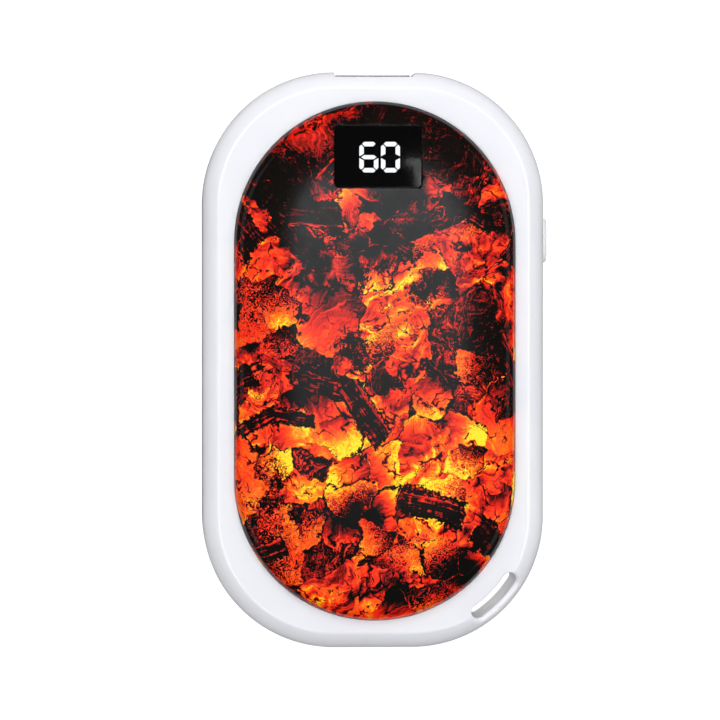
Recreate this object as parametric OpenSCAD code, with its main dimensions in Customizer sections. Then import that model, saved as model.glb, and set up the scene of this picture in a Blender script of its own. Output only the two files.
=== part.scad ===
// Rechargeable hand warmer, lying on its back cover.
// +X right, +Y towards the port end, +Z up towards the display side, millimetres.
// Origin: centre of the back cover's flat resting face.

/* [Body] */
// width across the two long sides
body_w = 60; // [52:0.5:72]
// length from the lower end to the port end
body_l = 101.2; // [90:0.1:125]
// overall thickness over both covers
body_t = 24; // [22:0.5:30]
// radius of the four plan-view corners
corner_r = 23.1; // [15:0.1:26]
// radius of the rounded front and back edges
edge_r = 4.8; // [3:0.1:5]
// width of those edges as seen from the front
edge_w = 2.8; // [2:0.1:3]
// thickness of the case side walls
wall_t = 1.8; // [1.4:0.1:2.4]
// thickness of the case floors under the covers
floor_t = 1.4; // [1:0.1:2]
// chamfer on each side of the seam between the case halves
seam_c = 0.25; // [0.1:0.05:0.5]
// height of the tongue that locks the halves together
tongue_h = 1.1; // [0.6:0.1:2]
// play around that tongue
tongue_gap = 0.1; // [0.05:0.05:0.2]

/* [Covers] */
// width of the round-ended cover
cover_w = 49.2; // [40:0.1:54]
// length of the round-ended cover
cover_l = 91.2; // [80:0.1:115]
// how far a cover stands proud of the case face
cover_rise = 2; // [1:0.1:3]
// depth of the recess that the cover sits in
recess_d = 1.6; // [1:0.1:2.5]
// radius of the cover's rounded edge
cover_edge_r = 2.1; // [1:0.1:3]
// fall of the cover's crown from its flat centre to its edge
crown_drop = 0.35; // [0.1:0.05:0.8]
// width of the flat centre of the crown
crown_flat = 24; // [10:1:34]
// thickness of the cover's face at its centre
cover_t = 1.4; // [0.9:0.1:2]
// width of the cover's rim
rim_w = 1.9; // [1.2:0.1:3]
// gap between cover and case recess
cover_gap = 0.1; // [0.05:0.05:0.3]
// thickness of the adhesive ring under the rim
glue_t = 0.2; // [0.1:0.05:0.4]
// thickness of the aluminium heat spreader
spreader_t = 0.5; // [0.3:0.1:1]
// thickness of the heater film
film_t = 0.2; // [0.1:0.05:0.4]

/* [Display] */
// width of the window
window_w = 15.4; // [10:0.1:20]
// height of the window
window_h = 11.05; // [8:0.05:15]
// corner radius of the window
window_r = 0.7; // [0.3:0.1:2]
// window centre, across the body
window_x = 0.7; // [-5:0.1:5]
// window centre, along the body
window_y = 35.7; // [20:0.1:38]
// how far the window lies below the top of the crown
window_sink = 0.4; // [0.35:0.05:1]
// height of one digit
digit_h = 5.66; // [4:0.02:8]
// width of one digit
digit_w = 3.62; // [2.5:0.02:5]
// stroke of a digit segment
stroke = 1.05; // [0.5:0.05:1.4]
// gap between neighbouring segments
seg_gap = 0.17; // [0.1:0.01:0.4]
// gap between the two digits
digit_gap = 0.26; // [0.2:0.02:1.5]
// value shown by the left digit
digit_left = 6; // [0:1:9]
// value shown by the right digit
digit_right = 0; // [0:1:9]

/* [Ports] */
// width of the flat cut across the port end
port_flat_w = 13.6; // [13.4:0.1:20]
// depth of that flat
port_flat_d = 0.85; // [0.2:0.05:1]
// outer width of the large socket
usba_w = 13.1; // [13:0.1:13.3]
// outer height of the large socket
usba_h = 5.7; // [5.5:0.1:6]
// length of the large socket
usba_l = 14; // [10:0.5:18]
// outer width of the small socket
usbc_w = 8.94; // [8.9:0.01:9]
// outer height of the small socket
usbc_h = 3.2; // [3.1:0.05:3.3]
// length of the small socket
usbc_l = 7.5; // [6:0.1:9]
// sheet thickness of the sockets
sheet = 0.3; // [0.2:0.05:0.4]
// how far the socket mouths stand out of the flat
mouth_out = 0.4; // [0:0.05:0.5]

/* [Button] */
// length of the side button
button_l = 7.8; // [5:0.1:14]
// height of the side button
button_h = 3.8; // [2:0.1:6]
// position of the button along the body
button_y = 21.1; // [18.9:0.1:22]
// how far the button stands out
button_out = 0.95; // [0.35:0.05:1.5]
// play around the button in its hole
button_gap = 0.15; // [0.1:0.05:0.3]
// travel of the button
button_travel = 0.3; // [0.2:0.05:0.3]

/* [Cord slot] */
// radius of the slot's inner wall about the corner centre
slot_r = 19; // [18:0.1:20]
// width of the slot
slot_w = 2.4; // [1.5:0.1:2.6]
// first end of the slot, degrees below +X
slot_a0 = 29.5; // [20:0.5:40]
// second end of the slot, degrees below +X
slot_a1 = 59; // [50:0.5:70]
// wall around the slot inside the case
slot_wall = 1.2; // [0.8:0.1:1.6]

/* [Inside] */
// width of one pouch cell
cell_w = 40; // [30:0.5:41]
// length of one pouch cell without its sealed end
cell_l = 46; // [36:0.5:46]
// thickness of one pouch cell
cell_t = 6.4; // [4:0.1:6.4]
// thickness of the circuit board
board_t = 1; // [0.8:0.1:1.2]
// play between the board and the case wall
board_gap = 0.7; // [0.4:0.1:1.5]
// radius of a case screw's shank
screw_r = 1; // [0.8:0.05:1.1]

/* [Hidden] */
$fn = 96;
cx = body_w / 2 - corner_r;
cy = body_l / 2 - corner_r;
seam_z = body_t / 2;
face_z = body_t - cover_rise;
edge_h = sqrt(edge_r * edge_r - (edge_r - edge_w) * (edge_r - edge_w));
bed_z = face_z - recess_d;
ceil_z = bed_z - floor_t;
inner_r = corner_r - wall_t;
bed_r = cover_w / 2;
cov_r = bed_r - cover_gap;
cov_y = (cover_l - cover_w) / 2;
dish_r = cov_r - rim_w;
rim_z = bed_z + glue_t;
dish_z = body_t - cover_t;
spread_z = dish_z - spreader_t;
film_z = spread_z - film_t;
crown_k = (cov_r - cover_edge_r - crown_flat / 2);
crown_rr = (crown_k * crown_k + crown_drop * crown_drop) / (2 * crown_drop);
end_y = body_l / 2;
flat_y = end_y - port_flat_d;
mouth_y = flat_y + mouth_out;
board_top = seam_z - 0.9;
board_bot = board_top - board_t;
board_r = inner_r - board_gap;
board_x = 24.6;
board_y0 = 18;
screw_at = [[18, 30], [-18, 30], [9.5, -40.5], [-9.5, -40.5]];
post_at = [[21.8, 25.6], [-21.8, 25.6], [10.5, 41], [-10.5, 41]];
web_z = 8.4;
web_t = 1.6;
boss_r = 2.6;
win_top = body_t - window_sink;
disp_top = win_top - 1.5;
win_flange_z = win_top - 1.4;
cell_z = seam_z + 0.2 + cell_t / 2;
c_case = [0.93, 0.93, 0.94];
c_print = [0.45, 0.1, 0.03];
c_black = [0.03, 0.03, 0.03];
c_steel = [0.72, 0.72, 0.74];
c_alu = [0.8, 0.8, 0.82];
c_film = [0.75, 0.42, 0.08];
c_foam = [0.25, 0.25, 0.27];
c_board = [0.03, 0.28, 0.12];
c_gold = [0.85, 0.66, 0.25];
// lit segments of each figure, order top, upper right, lower right, bottom, lower left, upper left, middle
figures = [[1,1,1,1,1,1,0], [0,1,1,0,0,0,0], [1,1,0,1,1,0,1], [1,1,1,1,0,0,1], [0,1,1,0,0,1,1],
           [1,0,1,1,0,1,1], [1,0,1,1,1,1,1], [1,1,1,0,0,0,0], [1,1,1,1,1,1,1], [1,1,1,1,0,1,1]];

// ---- shape helpers ----

// the other half of the body, mirrored about the seam
module flip() translate([0, 0, body_t]) mirror([0, 0, 1]) children();

// rounded plan outline with corner radius r about the corner centres
module outline(r) union() {
  for (sx = [-1, 1], sy = [-1, 1]) translate([sx * cx, sy * cy]) circle(r = r);
  square([2 * (cx + r), 2 * cy], center = true);
  square([2 * cx, 2 * (cy + r)], center = true);
}

// a profile (x from the corner centre, y up) carried round the whole outline
module round_sweep() {
  for (q = [0 : 3])
    translate([(q == 0 || q == 3) ? cx : -cx, q < 2 ? cy : -cy, 0])
      rotate([0, 0, 90 * q]) rotate_extrude(angle = 90) children();
  for (s = [0, 1]) {
    mirror([s, 0, 0]) translate([cx, cy, 0]) rotate([90, 0, 0]) linear_extrude(2 * cy) children();
    mirror([0, s, 0]) translate([-cx, cy, 0]) rotate([90, 0, 90]) linear_extrude(2 * cx) children();
  }
}

// round-ended plan shape, straight length 2*hy, end radius r
module pill(r, hy) union() {
  for (s = [-1, 1]) translate([0, s * hy]) circle(r = r);
  square([2 * r, 2 * hy], center = true);
}

// a profile (x from the axis) carried round a pill of straight length 2*hy
module pill_sweep(hy) {
  for (s = [0, 1]) translate([0, s == 0 ? hy : -hy, 0])
    rotate([0, 0, 180 * s]) rotate_extrude(angle = 180) children();
  for (s = [0, 1]) mirror([s, 0, 0]) translate([0, hy, 0])
    rotate([90, 0, 0]) linear_extrude(2 * hy) children();
}

module slab(z0, z1) translate([0, 0, z0]) linear_extrude(z1 - z0) children();

module rrect(w, h, r) union() {
  square([w - 2 * r, h], center = true);
  square([w, h - 2 * r], center = true);
  for (sx = [-1, 1], sy = [-1, 1]) translate([sx * (w / 2 - r), sy * (h / 2 - r)]) circle(r = r, $fn = 48);
}

module window_at(grow = 0) translate([window_x, window_y]) rrect(window_w + 2 * grow, window_h + 2 * grow, window_r + grow / 2);

// the cord slot as a curved bar with round ends about the lower right corner centre
module slot_bar(z0, z1, grow) {
  rm = slot_r + slot_w / 2;
  ra = slot_w / 2;
  da = asin(ra / rm);
  b0 = slot_a0 + da;
  b1 = slot_a1 - da;
  ro = slot_r + slot_w + grow;
  ri = slot_r - grow;
  rc = ra + grow;
  function on(r, a) = [r * cos(a), -r * sin(a)];
  translate([cx, -cy, z0]) linear_extrude(z1 - z0) polygon(concat(
    [for (k = [0 : 20]) on(ro, b0 + (b1 - b0) * k / 20)],
    [for (k = [1 : 11]) on(rm, b1) + rc * [cos(-b1 - 15 * k), sin(-b1 - 15 * k)]],
    [for (k = [0 : 20]) on(ri, b1 + (b0 - b1) * k / 20)],
    [for (k = [1 : 11]) on(rm, b0) + rc * [cos(180 - b0 - 15 * k), sin(180 - b0 - 15 * k)]]));
}

// zone round the slot in which the seam tongue is left out
module slot_zone() translate([cx, -cy, 0]) rotate([0, 0, -(slot_a1 + 5)])
  rotate_extrude(angle = slot_a1 - slot_a0 + 10) translate([16, 0]) square([10, body_t]);

// flat and socket openings at the port end, cut out of both halves
module port_cuts() {
  // flat with one steep and one slanted side
  translate([0, 0, -1]) linear_extrude(body_t + 2)
    polygon([[-port_flat_w / 2, flat_y], [-port_flat_w / 2 - 0.1, end_y + 1],
             [port_flat_w / 2 + 1.5, end_y + 1], [port_flat_w / 2, flat_y]]);
  translate([-usba_w / 2 - 0.15, flat_y - 4, board_top - 0.15]) cube([usba_w + 0.3, 6, usba_h + 0.3]);
  translate([0, flat_y + 2, board_bot - usbc_h / 2]) rotate([90, 0, 0])
    linear_extrude(6) rotate(90) pill(usbc_h / 2 + 0.18, (usbc_w - usbc_h) / 2);
}

module button_hole() translate([body_w / 2 - 6, button_y, seam_z]) rotate([0, 90, 0])
  linear_extrude(10) pill(button_h / 2 + button_gap, (button_l - button_h) / 2);

// half of the case body before its inside is cut: the rounded edge meets the face in a soft crease,
// and the wall ends in the seam chamfer
module case_block() {
  module prof() difference() {
    translate([0, seam_z]) square([corner_r, face_z - seam_z]);
    difference() {
      translate([corner_r - edge_r, face_z - edge_h]) square([edge_r + 1, edge_h + 1]);
      translate([corner_r - edge_r, face_z - edge_h]) circle(r = edge_r, $fn = 96);
    }
    polygon([[corner_r - seam_c, seam_z - 1], [corner_r - seam_c, seam_z], [corner_r, seam_z + seam_c],
             [corner_r + 1, seam_z + seam_c], [corner_r + 1, seam_z - 1]]);
  }
  round_sweep() prof();
  translate([-cx, -cy, seam_z]) cube([2 * cx, 2 * cy, face_z - seam_z]);
}

// ---- case ----

module front_shell() color(c_case) difference() {
  union() {
    difference() {
      case_block();
      slab(seam_z - 1, ceil_z) outline(inner_r);
    }
    // seam tongue
    difference() {
      slab(seam_z - tongue_h, seam_z + 0.5) difference() { outline(inner_r + 0.8); outline(inner_r); }
      slot_zone();
    }
    // screw bosses
    for (p = screw_at) translate([p[0], p[1], web_z + web_t]) cylinder(r = boss_r, h = ceil_z - web_z - web_t + 0.1, $fn = 48);
    // slot wall
    intersection() {
      slot_bar(seam_z, ceil_z + 0.1, slot_wall);
      slab(seam_z, body_t) outline(corner_r - 0.6);
    }
    // cell side ribs
    for (sx = [-1, 1], y = [-26, -2]) translate([sx * 21 - 0.5, y, 14]) cube([1, 8, ceil_z - 14 + 0.1]);
    // display board standoffs
    for (sx = [-1, 1]) translate([window_x + sx * 10.4, window_y - 2, ceil_z - 1.2]) cylinder(r = 0.6, h = 1.3, $fn = 48);
  }
  slab(bed_z, body_t) pill(bed_r, cov_y);
  // display opening
  translate([window_x, window_y, ceil_z - 1]) linear_extrude(4) square([15.4, 10.8], center = true);
  // lead and sensor openings
  translate([-16, 24.7, ceil_z - 1]) cube([4, 2.6, 4]);
  translate([11, 23, ceil_z - 1]) cube([2, 2, 4]);
  for (p = screw_at) translate([p[0], p[1], web_z]) cylinder(r = screw_r + 0.02, h = 9.5, $fn = 48);
  slot_bar(-1, body_t + 1, 0);
  port_cuts();
  button_hole();
}

module back_shell() color(c_case) difference() {
  union() {
    difference() {
      flip() case_block();
      slab(body_t - ceil_z, seam_z + 1) outline(inner_r);
      // seam rebate
      difference() {
        slab(seam_z - tongue_h - tongue_gap, seam_z + 1) difference() { outline(inner_r + 0.8 + tongue_gap); outline(inner_r - 0.5); }
        slot_zone();
      }
    }
    // screw posts
    for (p = screw_at) translate([p[0], p[1], body_t - ceil_z - 0.1]) cylinder(r = 3.3, h = web_z + web_t - (body_t - ceil_z) + 0.1, $fn = 48);
    // board posts with locating pins
    for (p = post_at) translate([p[0], p[1], body_t - ceil_z - 0.1]) {
      cylinder(r = 1.4, h = board_bot - (body_t - ceil_z) + 0.1, $fn = 48);
      cylinder(r = 0.75, h = board_top + 0.4 - (body_t - ceil_z) + 0.1, $fn = 48);
    }
    intersection() {
      slot_bar(body_t - ceil_z - 0.1, seam_z, slot_wall);
      slab(0, seam_z) outline(corner_r - 0.6);
    }
    for (sx = [-1, 1], y = [-26, -2]) translate([sx * 21 - 0.5, y, body_t - ceil_z - 0.1]) cube([1, 8, 5.1]);
  }
  slab(0, body_t - bed_z) pill(bed_r, cov_y);
  translate([-16, 20.7, body_t - bed_z - 0.5]) cube([4, 2.6, 3]);
  translate([11, 20, body_t - bed_z - 0.5]) cube([2, 2, 3]);
  // screw pockets and holes
  for (p = screw_at) translate([p[0], p[1], 0]) {
    cylinder(r = 2.3, h = web_z, $fn = 48);
    cylinder(r = screw_r + 0.15, h = web_z + web_t + 1, $fn = 48);
  }
  slot_bar(-1, body_t + 1, 0);
  port_cuts();
  button_hole();
}

// screw from the back into the front half's boss
module case_screws() color(c_steel) for (p = screw_at) translate([p[0], p[1], 0]) difference() {
  union() {
    translate([0, 0, web_z]) cylinder(r = screw_r, h = 7.2, $fn = 48);
    translate([0, 0, web_z + 7.2]) cylinder(r1 = screw_r, r2 = 0.25, h = 1, $fn = 48);
    translate([0, 0, web_z - 1.3]) cylinder(r = 1.9, h = 1.3, $fn = 48);
  }
  for (a = [0, 90]) rotate([0, 0, a]) translate([-1, -0.2, web_z - 1.8]) cube([2, 0.4, 1.3]);
}

// ---- covers and heaters ----

module cover_blank() {
  module prof() intersection() {
    union() {
      translate([0, rim_z]) square([crown_flat / 2, body_t - rim_z]);
      intersection() {
        translate([0, rim_z]) square([cov_r, body_t - rim_z]);
        translate([crown_flat / 2, body_t - crown_rr]) circle(r = crown_rr, $fn = 960);
      }
    }
    union() {
      translate([0, rim_z]) square([cov_r - cover_edge_r, body_t - rim_z]);
      translate([0, rim_z]) square([cov_r, body_t - crown_drop - cover_edge_r - rim_z]);
      translate([cov_r - cover_edge_r, body_t - crown_drop - cover_edge_r]) circle(r = cover_edge_r, $fn = 64);
    }
  }
  difference() {
    pill_sweep(cov_y) prof();
    slab(rim_z - 1, dish_z) pill(dish_r, cov_y);
  }
}

module front_cover() color(c_print) difference() {
  cover_blank();
  slab(dish_z - 1, body_t + 1) window_at(0.05);
}
module back_cover() color(c_print) flip() cover_blank();

module glue_ring() slab(bed_z, rim_z) difference() { pill(cov_r - 0.1, cov_y); pill(dish_r + 0.2, cov_y); }
module front_cover_glue() color([0.9, 0.9, 0.85]) glue_ring();
module back_cover_glue() color([0.9, 0.9, 0.85]) flip() glue_ring();

// opening around the display in the sheets behind the cover
module display_gap(grow) translate([window_x, window_y]) square([18 + grow, 13.6 + grow], center = true);

module front_spreader() color(c_alu) slab(spread_z, dish_z) difference() { pill(dish_r - 0.2, cov_y); display_gap(0); }
module back_spreader() color(c_alu) flip() slab(spread_z, dish_z) pill(dish_r - 0.2, cov_y);

module front_heater() color(c_film) slab(film_z, spread_z) difference() { pill(dish_r - 1, cov_y); display_gap(0.6); }
module back_heater() color(c_film) flip() slab(film_z, spread_z) pill(dish_r - 1, cov_y);

module front_pad() color(c_foam) slab(bed_z, film_z) difference() {
  pill(dish_r - 0.6, cov_y);
  display_gap(0);
  translate([-16, 24.7]) square([4, 2.6]);
  translate([11, 23]) square([2, 2]);
}
module back_pad() color(c_foam) flip() slab(bed_z, film_z) difference() {
  pill(dish_r - 0.6, cov_y);
  for (p = screw_at) translate(p) circle(r = 2.5, $fn = 48);
  translate([-16, 20.7]) square([4, 2.6]);
  translate([11, 20]) square([2, 2]);
}

// ---- display ----

module display_window() color(c_black) {
  slab(win_flange_z + 0.4, win_top) window_at();
  slab(win_flange_z, win_flange_z + 0.4) intersection() { window_at(0.8); pill(dish_r - 0.2, cov_y); }
}

// one segment of a figure with its ends and outer corners cut at 45 degrees;
// 0 top, 1 upper right, 2 lower right, 3 bottom, 4 lower left, 5 upper left, 6 middle
module segment(i) {
  w = digit_w; h = digit_h; t = stroke; g = seg_gap * 0.35; m = h / 2;
  if (i == 0) polygon([[t, h], [w - t, h], [w - t / 2 - g, h - t / 2 + g], [w - t - 2 * g, h - t], [t + 2 * g, h - t], [t / 2 + g, h - t / 2 + g]]);
  if (i == 3) translate([0, h]) mirror([0, 1]) segment(0);
  if (i == 6) polygon([[t * 0.36, m], [t, m + t * 0.46], [w - t, m + t * 0.46], [w - t * 0.36, m], [w - t, m - t * 0.46], [t, m - t * 0.46]]);
  if (i == 5) polygon([[0, m + 2 * g], [0, h - t], [t / 2 - g, h - t / 2 - g], [t, h - t - 2 * g], [t, m + t / 2 + 2.6 * g]]);
  if (i == 4) translate([0, h]) mirror([0, 1]) segment(5);
  if (i == 1) translate([w, 0]) mirror([1, 0]) segment(5);
  if (i == 2) translate([w, 0]) mirror([1, 0]) segment(4);
}

// all segments of both figures that are lit (want = 1) or dark (want = 0)
module segments(want) translate([window_x + 0.1 - digit_w - digit_gap / 2, window_y - 0.2 - digit_h / 2])
  for (d = [0, 1], i = [0 : 6]) if (figures[d == 0 ? digit_left : digit_right][i] == want)
    translate([d * (digit_w + digit_gap), 0]) segment(i);

module display_housing() color(c_black) difference() {
  slab(ceil_z, disp_top) translate([window_x, window_y]) square([15, 10.4], center = true);
  slab(disp_top - 0.8, disp_top + 1) { segments(0); segments(1); }
}
module display_segments_lit() color([0.95, 0.97, 1]) slab(disp_top - 0.8, disp_top) segments(1);
module display_segments_unlit() color([0.2, 0.2, 0.22]) slab(disp_top - 0.8, disp_top) segments(0);

module display_board() color(c_board) slab(ceil_z - 1.2, ceil_z) difference() {
  translate([window_x, window_y - 1]) square([23, 15], center = true);
  for (sx = [-1, 1]) translate([window_x + sx * 10.4, window_y - 2]) circle(r = 0.7, $fn = 48);
}
module display_pins() color(c_gold) for (i = [-3 : 3])
  translate([window_x + i * 1.5 - 0.3, window_y - 7.6, board_top]) cube([0.6, 0.6, ceil_z - 1.2 - board_top]);

// ---- main board ----

module main_board() color(c_board) slab(board_bot, board_top) difference() {
  intersection() {
    outline(board_r);
    translate([-board_x, board_y0]) square([2 * board_x, 60]);
  }
  for (p = screw_at) translate(p) circle(r = boss_r + 0.4, $fn = 48);
  for (p = post_at) translate(p) circle(r = 0.85, $fn = 48);
}

module chip_body(w, l, h) difference() {
  translate([-w / 2, -l / 2, 0]) cube([w, l, h]);
  translate([-w / 2 + 0.7, l / 2 - 0.7, h - 0.08]) cylinder(r = 0.3, h = 1, $fn = 48);
}
module controller_chip() color(c_black) translate([-9.5, 27, board_top]) chip_body(5, 5, 0.9);
module charger_chip() color(c_black) translate([7, 24, board_top + 0.1]) chip_body(3.9, 4.9, 1.5);
module chip_leads() color(c_steel) for (s = [-1, 1], i = [-1.5 : 1.5])
  translate([7 + s * 2.45 - 0.5, 24 + i * 1.27 - 0.2, board_top]) {
    cube([1, 0.4, 0.2]);
    translate([s < 0 ? 0.8 : 0, 0, 0]) cube([0.2, 0.4, 0.8]);
  }
module power_inductor() color([0.22, 0.22, 0.23]) translate([0, 24.3, board_top]) {
  slab(0, 3.6) rrect(6, 6, 1);
  slab(3.6, 4) rrect(5.4, 5.4, 0.8);
}
module board_capacitors() color([0.6, 0.48, 0.36])
  for (p = [[-16, 22], [-12.5, 22], [14, 20], [14, 28], [-14, 35], [14, 35], [-9, 34]])
    translate([p[0] - 0.8, p[1] - 1.6, board_top]) cube([1.6, 3.2, 1.2]);
module board_resistors() color([0.1, 0.1, 0.12])
  for (p = [[-8, 20.2], [-6, 20.2], [-4, 20.2], [3, 20.2], [5, 20.2], [-10, 38], [10, 38], [-4, 32.5], [3.5, 32.5]])
    translate([p[0] - 0.4, p[1] - 0.8, board_top]) cube([0.8, 1.6, 0.5]);

// ---- ports ----

module usb_a_shell() color(c_steel) translate([0, mouth_y - usba_l, board_top]) difference() {
  translate([-usba_w / 2, 0, 0]) cube([usba_w, usba_l, usba_h]);
  translate([-usba_w / 2 + sheet, -1, sheet]) cube([usba_w - 2 * sheet, usba_l + 2, usba_h - 2 * sheet]);
  // spring finger slots
  for (sx = [-1, 1]) for (x = [-0.9, 0.7])
    translate([sx * 3 + x, usba_l - 9, usba_h - sheet - 0.5]) cube([0.2, 6, 1.5]);
  for (sx = [-1, 1]) translate([sx * 3 - 0.9, usba_l - 3.2, usba_h - sheet - 0.5]) cube([1.8, 0.2, 1.5]);
}
module usb_a_tongue() color([0.92, 0.92, 0.9]) translate([0, mouth_y - usba_l, board_top]) {
  translate([-usba_w / 2 + sheet, 0.2, sheet]) cube([usba_w - 2 * sheet, 3.6, usba_h - 2 * sheet]);
  translate([-5.55, 3.8, 2.9]) cube([11.1, usba_l - 4.6, 1.84]);
}
module usb_a_contacts() color(c_gold) for (x = [-3.5, -1, 1, 3.5])
  translate([x - 0.5, mouth_y - usba_l + 3.8, board_top + 2.75]) cube([1, usba_l - 5.4, 0.15]);

module usbc_at() translate([0, mouth_y, board_bot - usbc_h / 2]) rotate([90, 0, 0]) children();
module usb_c_shell() color(c_steel) usbc_at() difference() {
  linear_extrude(usbc_l) rotate(90) pill(usbc_h / 2, (usbc_w - usbc_h) / 2);
  translate([0, 0, -1]) linear_extrude(usbc_l + 2) rotate(90) pill(usbc_h / 2 - sheet, (usbc_w - usbc_h) / 2);
}
module usb_c_tongue() color(c_black) usbc_at() {
  translate([0, 0, usbc_l - 1.6]) linear_extrude(1.4) rotate(90) pill(usbc_h / 2 - sheet, (usbc_w - usbc_h) / 2);
  translate([-3.35, -0.35, 0.5]) cube([6.7, 0.7, usbc_l - 2.1]);
}
module usb_c_contacts() color(c_gold) usbc_at() for (i = [-5.5 : 5.5], s = [-1, 1])
  translate([i * 0.5 - 0.125, s > 0 ? 0.35 : -0.41, 0.9]) cube([0.25, 0.06, usbc_l - 2.5]);

// ---- button and switch ----

module button_profile(x0, x1) {
  er = 0.45;
  difference() {
    translate([0, x0 - 0.1]) square([button_h / 2, x1 - x0 + 0.1]);
    difference() {
      translate([button_h / 2 - er, x1 - er]) square([er + 1, er + 1]);
      translate([button_h / 2 - er, x1 - er]) circle(r = er, $fn = 48);
    }
  }
}
module power_button() {
  x0 = body_w / 2 - wall_t - 0.15;
  hy = (button_l - button_h) / 2;
  color(c_case) translate([0, button_y, seam_z]) rotate([0, 90, 0]) {
    pill_sweep(hy) button_profile(x0, body_w / 2 + button_out);
    slab(x0 - 0.85, x0) pill(button_h / 2 + 0.8, hy);
    slab(board_x, x0 - 0.8) circle(r = 0.7, $fn = 48);
  }
}

module switch_body() color(c_black) difference() {
  translate([21.4, button_y - 2.35, board_top]) cube([2.4, 4.7, 1.8]);
  translate([22.3, button_y - 1.05, seam_z - 0.45]) cube([2, 2.1, 0.9]);
}
module switch_plunger() color([0.85, 0.85, 0.85]) translate([22.7, button_y - 1, seam_z - 0.4]) cube([board_x - 22.7, 2, 0.8]);

// ---- battery ----

module cell() union() {
  translate([0, 9, 0]) rotate([90, 0, 0]) linear_extrude(cell_l) rrect(cell_w, cell_t, 2);
  translate([-cell_w / 2 + 1, 8.9, -0.2]) cube([cell_w - 2, 4.1, 0.4]);
}
module battery_front() color([0.78, 0.79, 0.8]) translate([0, 0, cell_z]) cell();
module battery_back() color([0.78, 0.79, 0.8]) translate([0, 0, body_t - cell_z]) cell();
module battery_tape() color([0.95, 0.95, 0.9]) {
  translate([-17, -33, seam_z - 0.2]) cube([34, 38, 0.4]);
  for (sx = [-1, 1]) translate([sx * 10 - 5, -33, body_t - ceil_z]) cube([10, 38, ceil_z - cell_z - cell_t / 2]);
}
module battery_tabs() color(c_steel) for (sx = [-1, 1], z = [cell_z, body_t - cell_z])
  translate([sx * 9 - 2, 13, z - 0.1]) cube([4, 1.2, 0.2]);
module battery_guard_board() color(c_board) translate([-14, 14.2, 8]) cube([28, 0.8, 8]);

module lead(x) {
  translate([x, 15, board_top + 3.5]) rotate([-90, 0, 0]) cylinder(r = 0.6, h = 3.2, $fn = 48);
  translate([x, 18.2, board_top + 2]) rotate([0, -90, 0]) rotate_extrude(angle = 90) translate([1.5, 0]) circle(r = 0.6, $fn = 48);
  translate([x, 19.7, board_top]) cylinder(r = 0.6, h = 2, $fn = 48);
}
module battery_lead_plus() color([0.75, 0.05, 0.05]) lead(-2);
module battery_lead_minus() color([0.05, 0.05, 0.05]) lead(1);

module heater_leads() color([0.9, 0.9, 0.9]) for (s = [-1, 1]) {
  translate([-14 + s * 0.9, 26, board_top]) cylinder(r = 0.5, h = film_z - board_top, $fn = 48);
  translate([-14 + s * 0.9, 22, body_t - film_z]) cylinder(r = 0.5, h = board_bot - (body_t - film_z), $fn = 48);
}
module heat_sensors() color([0.1, 0.1, 0.1]) {
  translate([12, 24, film_z - 1]) cylinder(r = 0.7, h = 1, $fn = 48);
  translate([12, 21, body_t - film_z]) cylinder(r = 0.7, h = 1, $fn = 48);
}
module sensor_leads() color([0.6, 0.6, 0.6]) for (s = [-1, 1]) {
  translate([12 + s * 0.35, 24, board_top]) cylinder(r = 0.2, h = film_z - 1 - board_top, $fn = 48);
  translate([12 + s * 0.35, 21, body_t - film_z + 1]) cylinder(r = 0.2, h = board_bot - (body_t - film_z) - 1, $fn = 48);
}

front_shell();
back_shell();
front_cover();
back_cover();
front_cover_glue();
back_cover_glue();
front_spreader();
back_spreader();
front_heater();
back_heater();
front_pad();
back_pad();
display_window();
display_housing();
display_segments_lit();
display_segments_unlit();
display_board();
display_pins();
main_board();
usb_a_shell();
usb_a_tongue();
usb_a_contacts();
usb_c_shell();
usb_c_tongue();
usb_c_contacts();
controller_chip();
charger_chip();
chip_leads();
power_inductor();
board_capacitors();
board_resistors();
power_button();
switch_body();
switch_plunger();
battery_front();
battery_back();
battery_tape();
battery_tabs();
battery_guard_board();
battery_lead_plus();
battery_lead_minus();
heater_leads();
heat_sensors();
sensor_leads();
case_screws();
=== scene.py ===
import math
import random

import bmesh
import bpy
from mathutils import Matrix, Vector


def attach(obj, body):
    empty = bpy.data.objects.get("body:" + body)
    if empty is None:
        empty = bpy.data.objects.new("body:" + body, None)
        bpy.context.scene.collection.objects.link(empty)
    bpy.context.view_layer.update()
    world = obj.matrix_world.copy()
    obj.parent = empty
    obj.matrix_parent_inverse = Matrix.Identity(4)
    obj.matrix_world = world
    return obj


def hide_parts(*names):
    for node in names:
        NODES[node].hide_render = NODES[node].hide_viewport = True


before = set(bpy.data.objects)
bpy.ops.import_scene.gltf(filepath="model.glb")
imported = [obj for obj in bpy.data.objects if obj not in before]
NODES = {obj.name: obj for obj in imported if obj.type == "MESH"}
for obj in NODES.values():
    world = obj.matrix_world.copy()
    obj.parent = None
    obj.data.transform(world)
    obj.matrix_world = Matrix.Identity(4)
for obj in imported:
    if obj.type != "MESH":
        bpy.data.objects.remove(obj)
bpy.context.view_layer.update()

scene = bpy.context.scene
MM = 0.001

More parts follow.
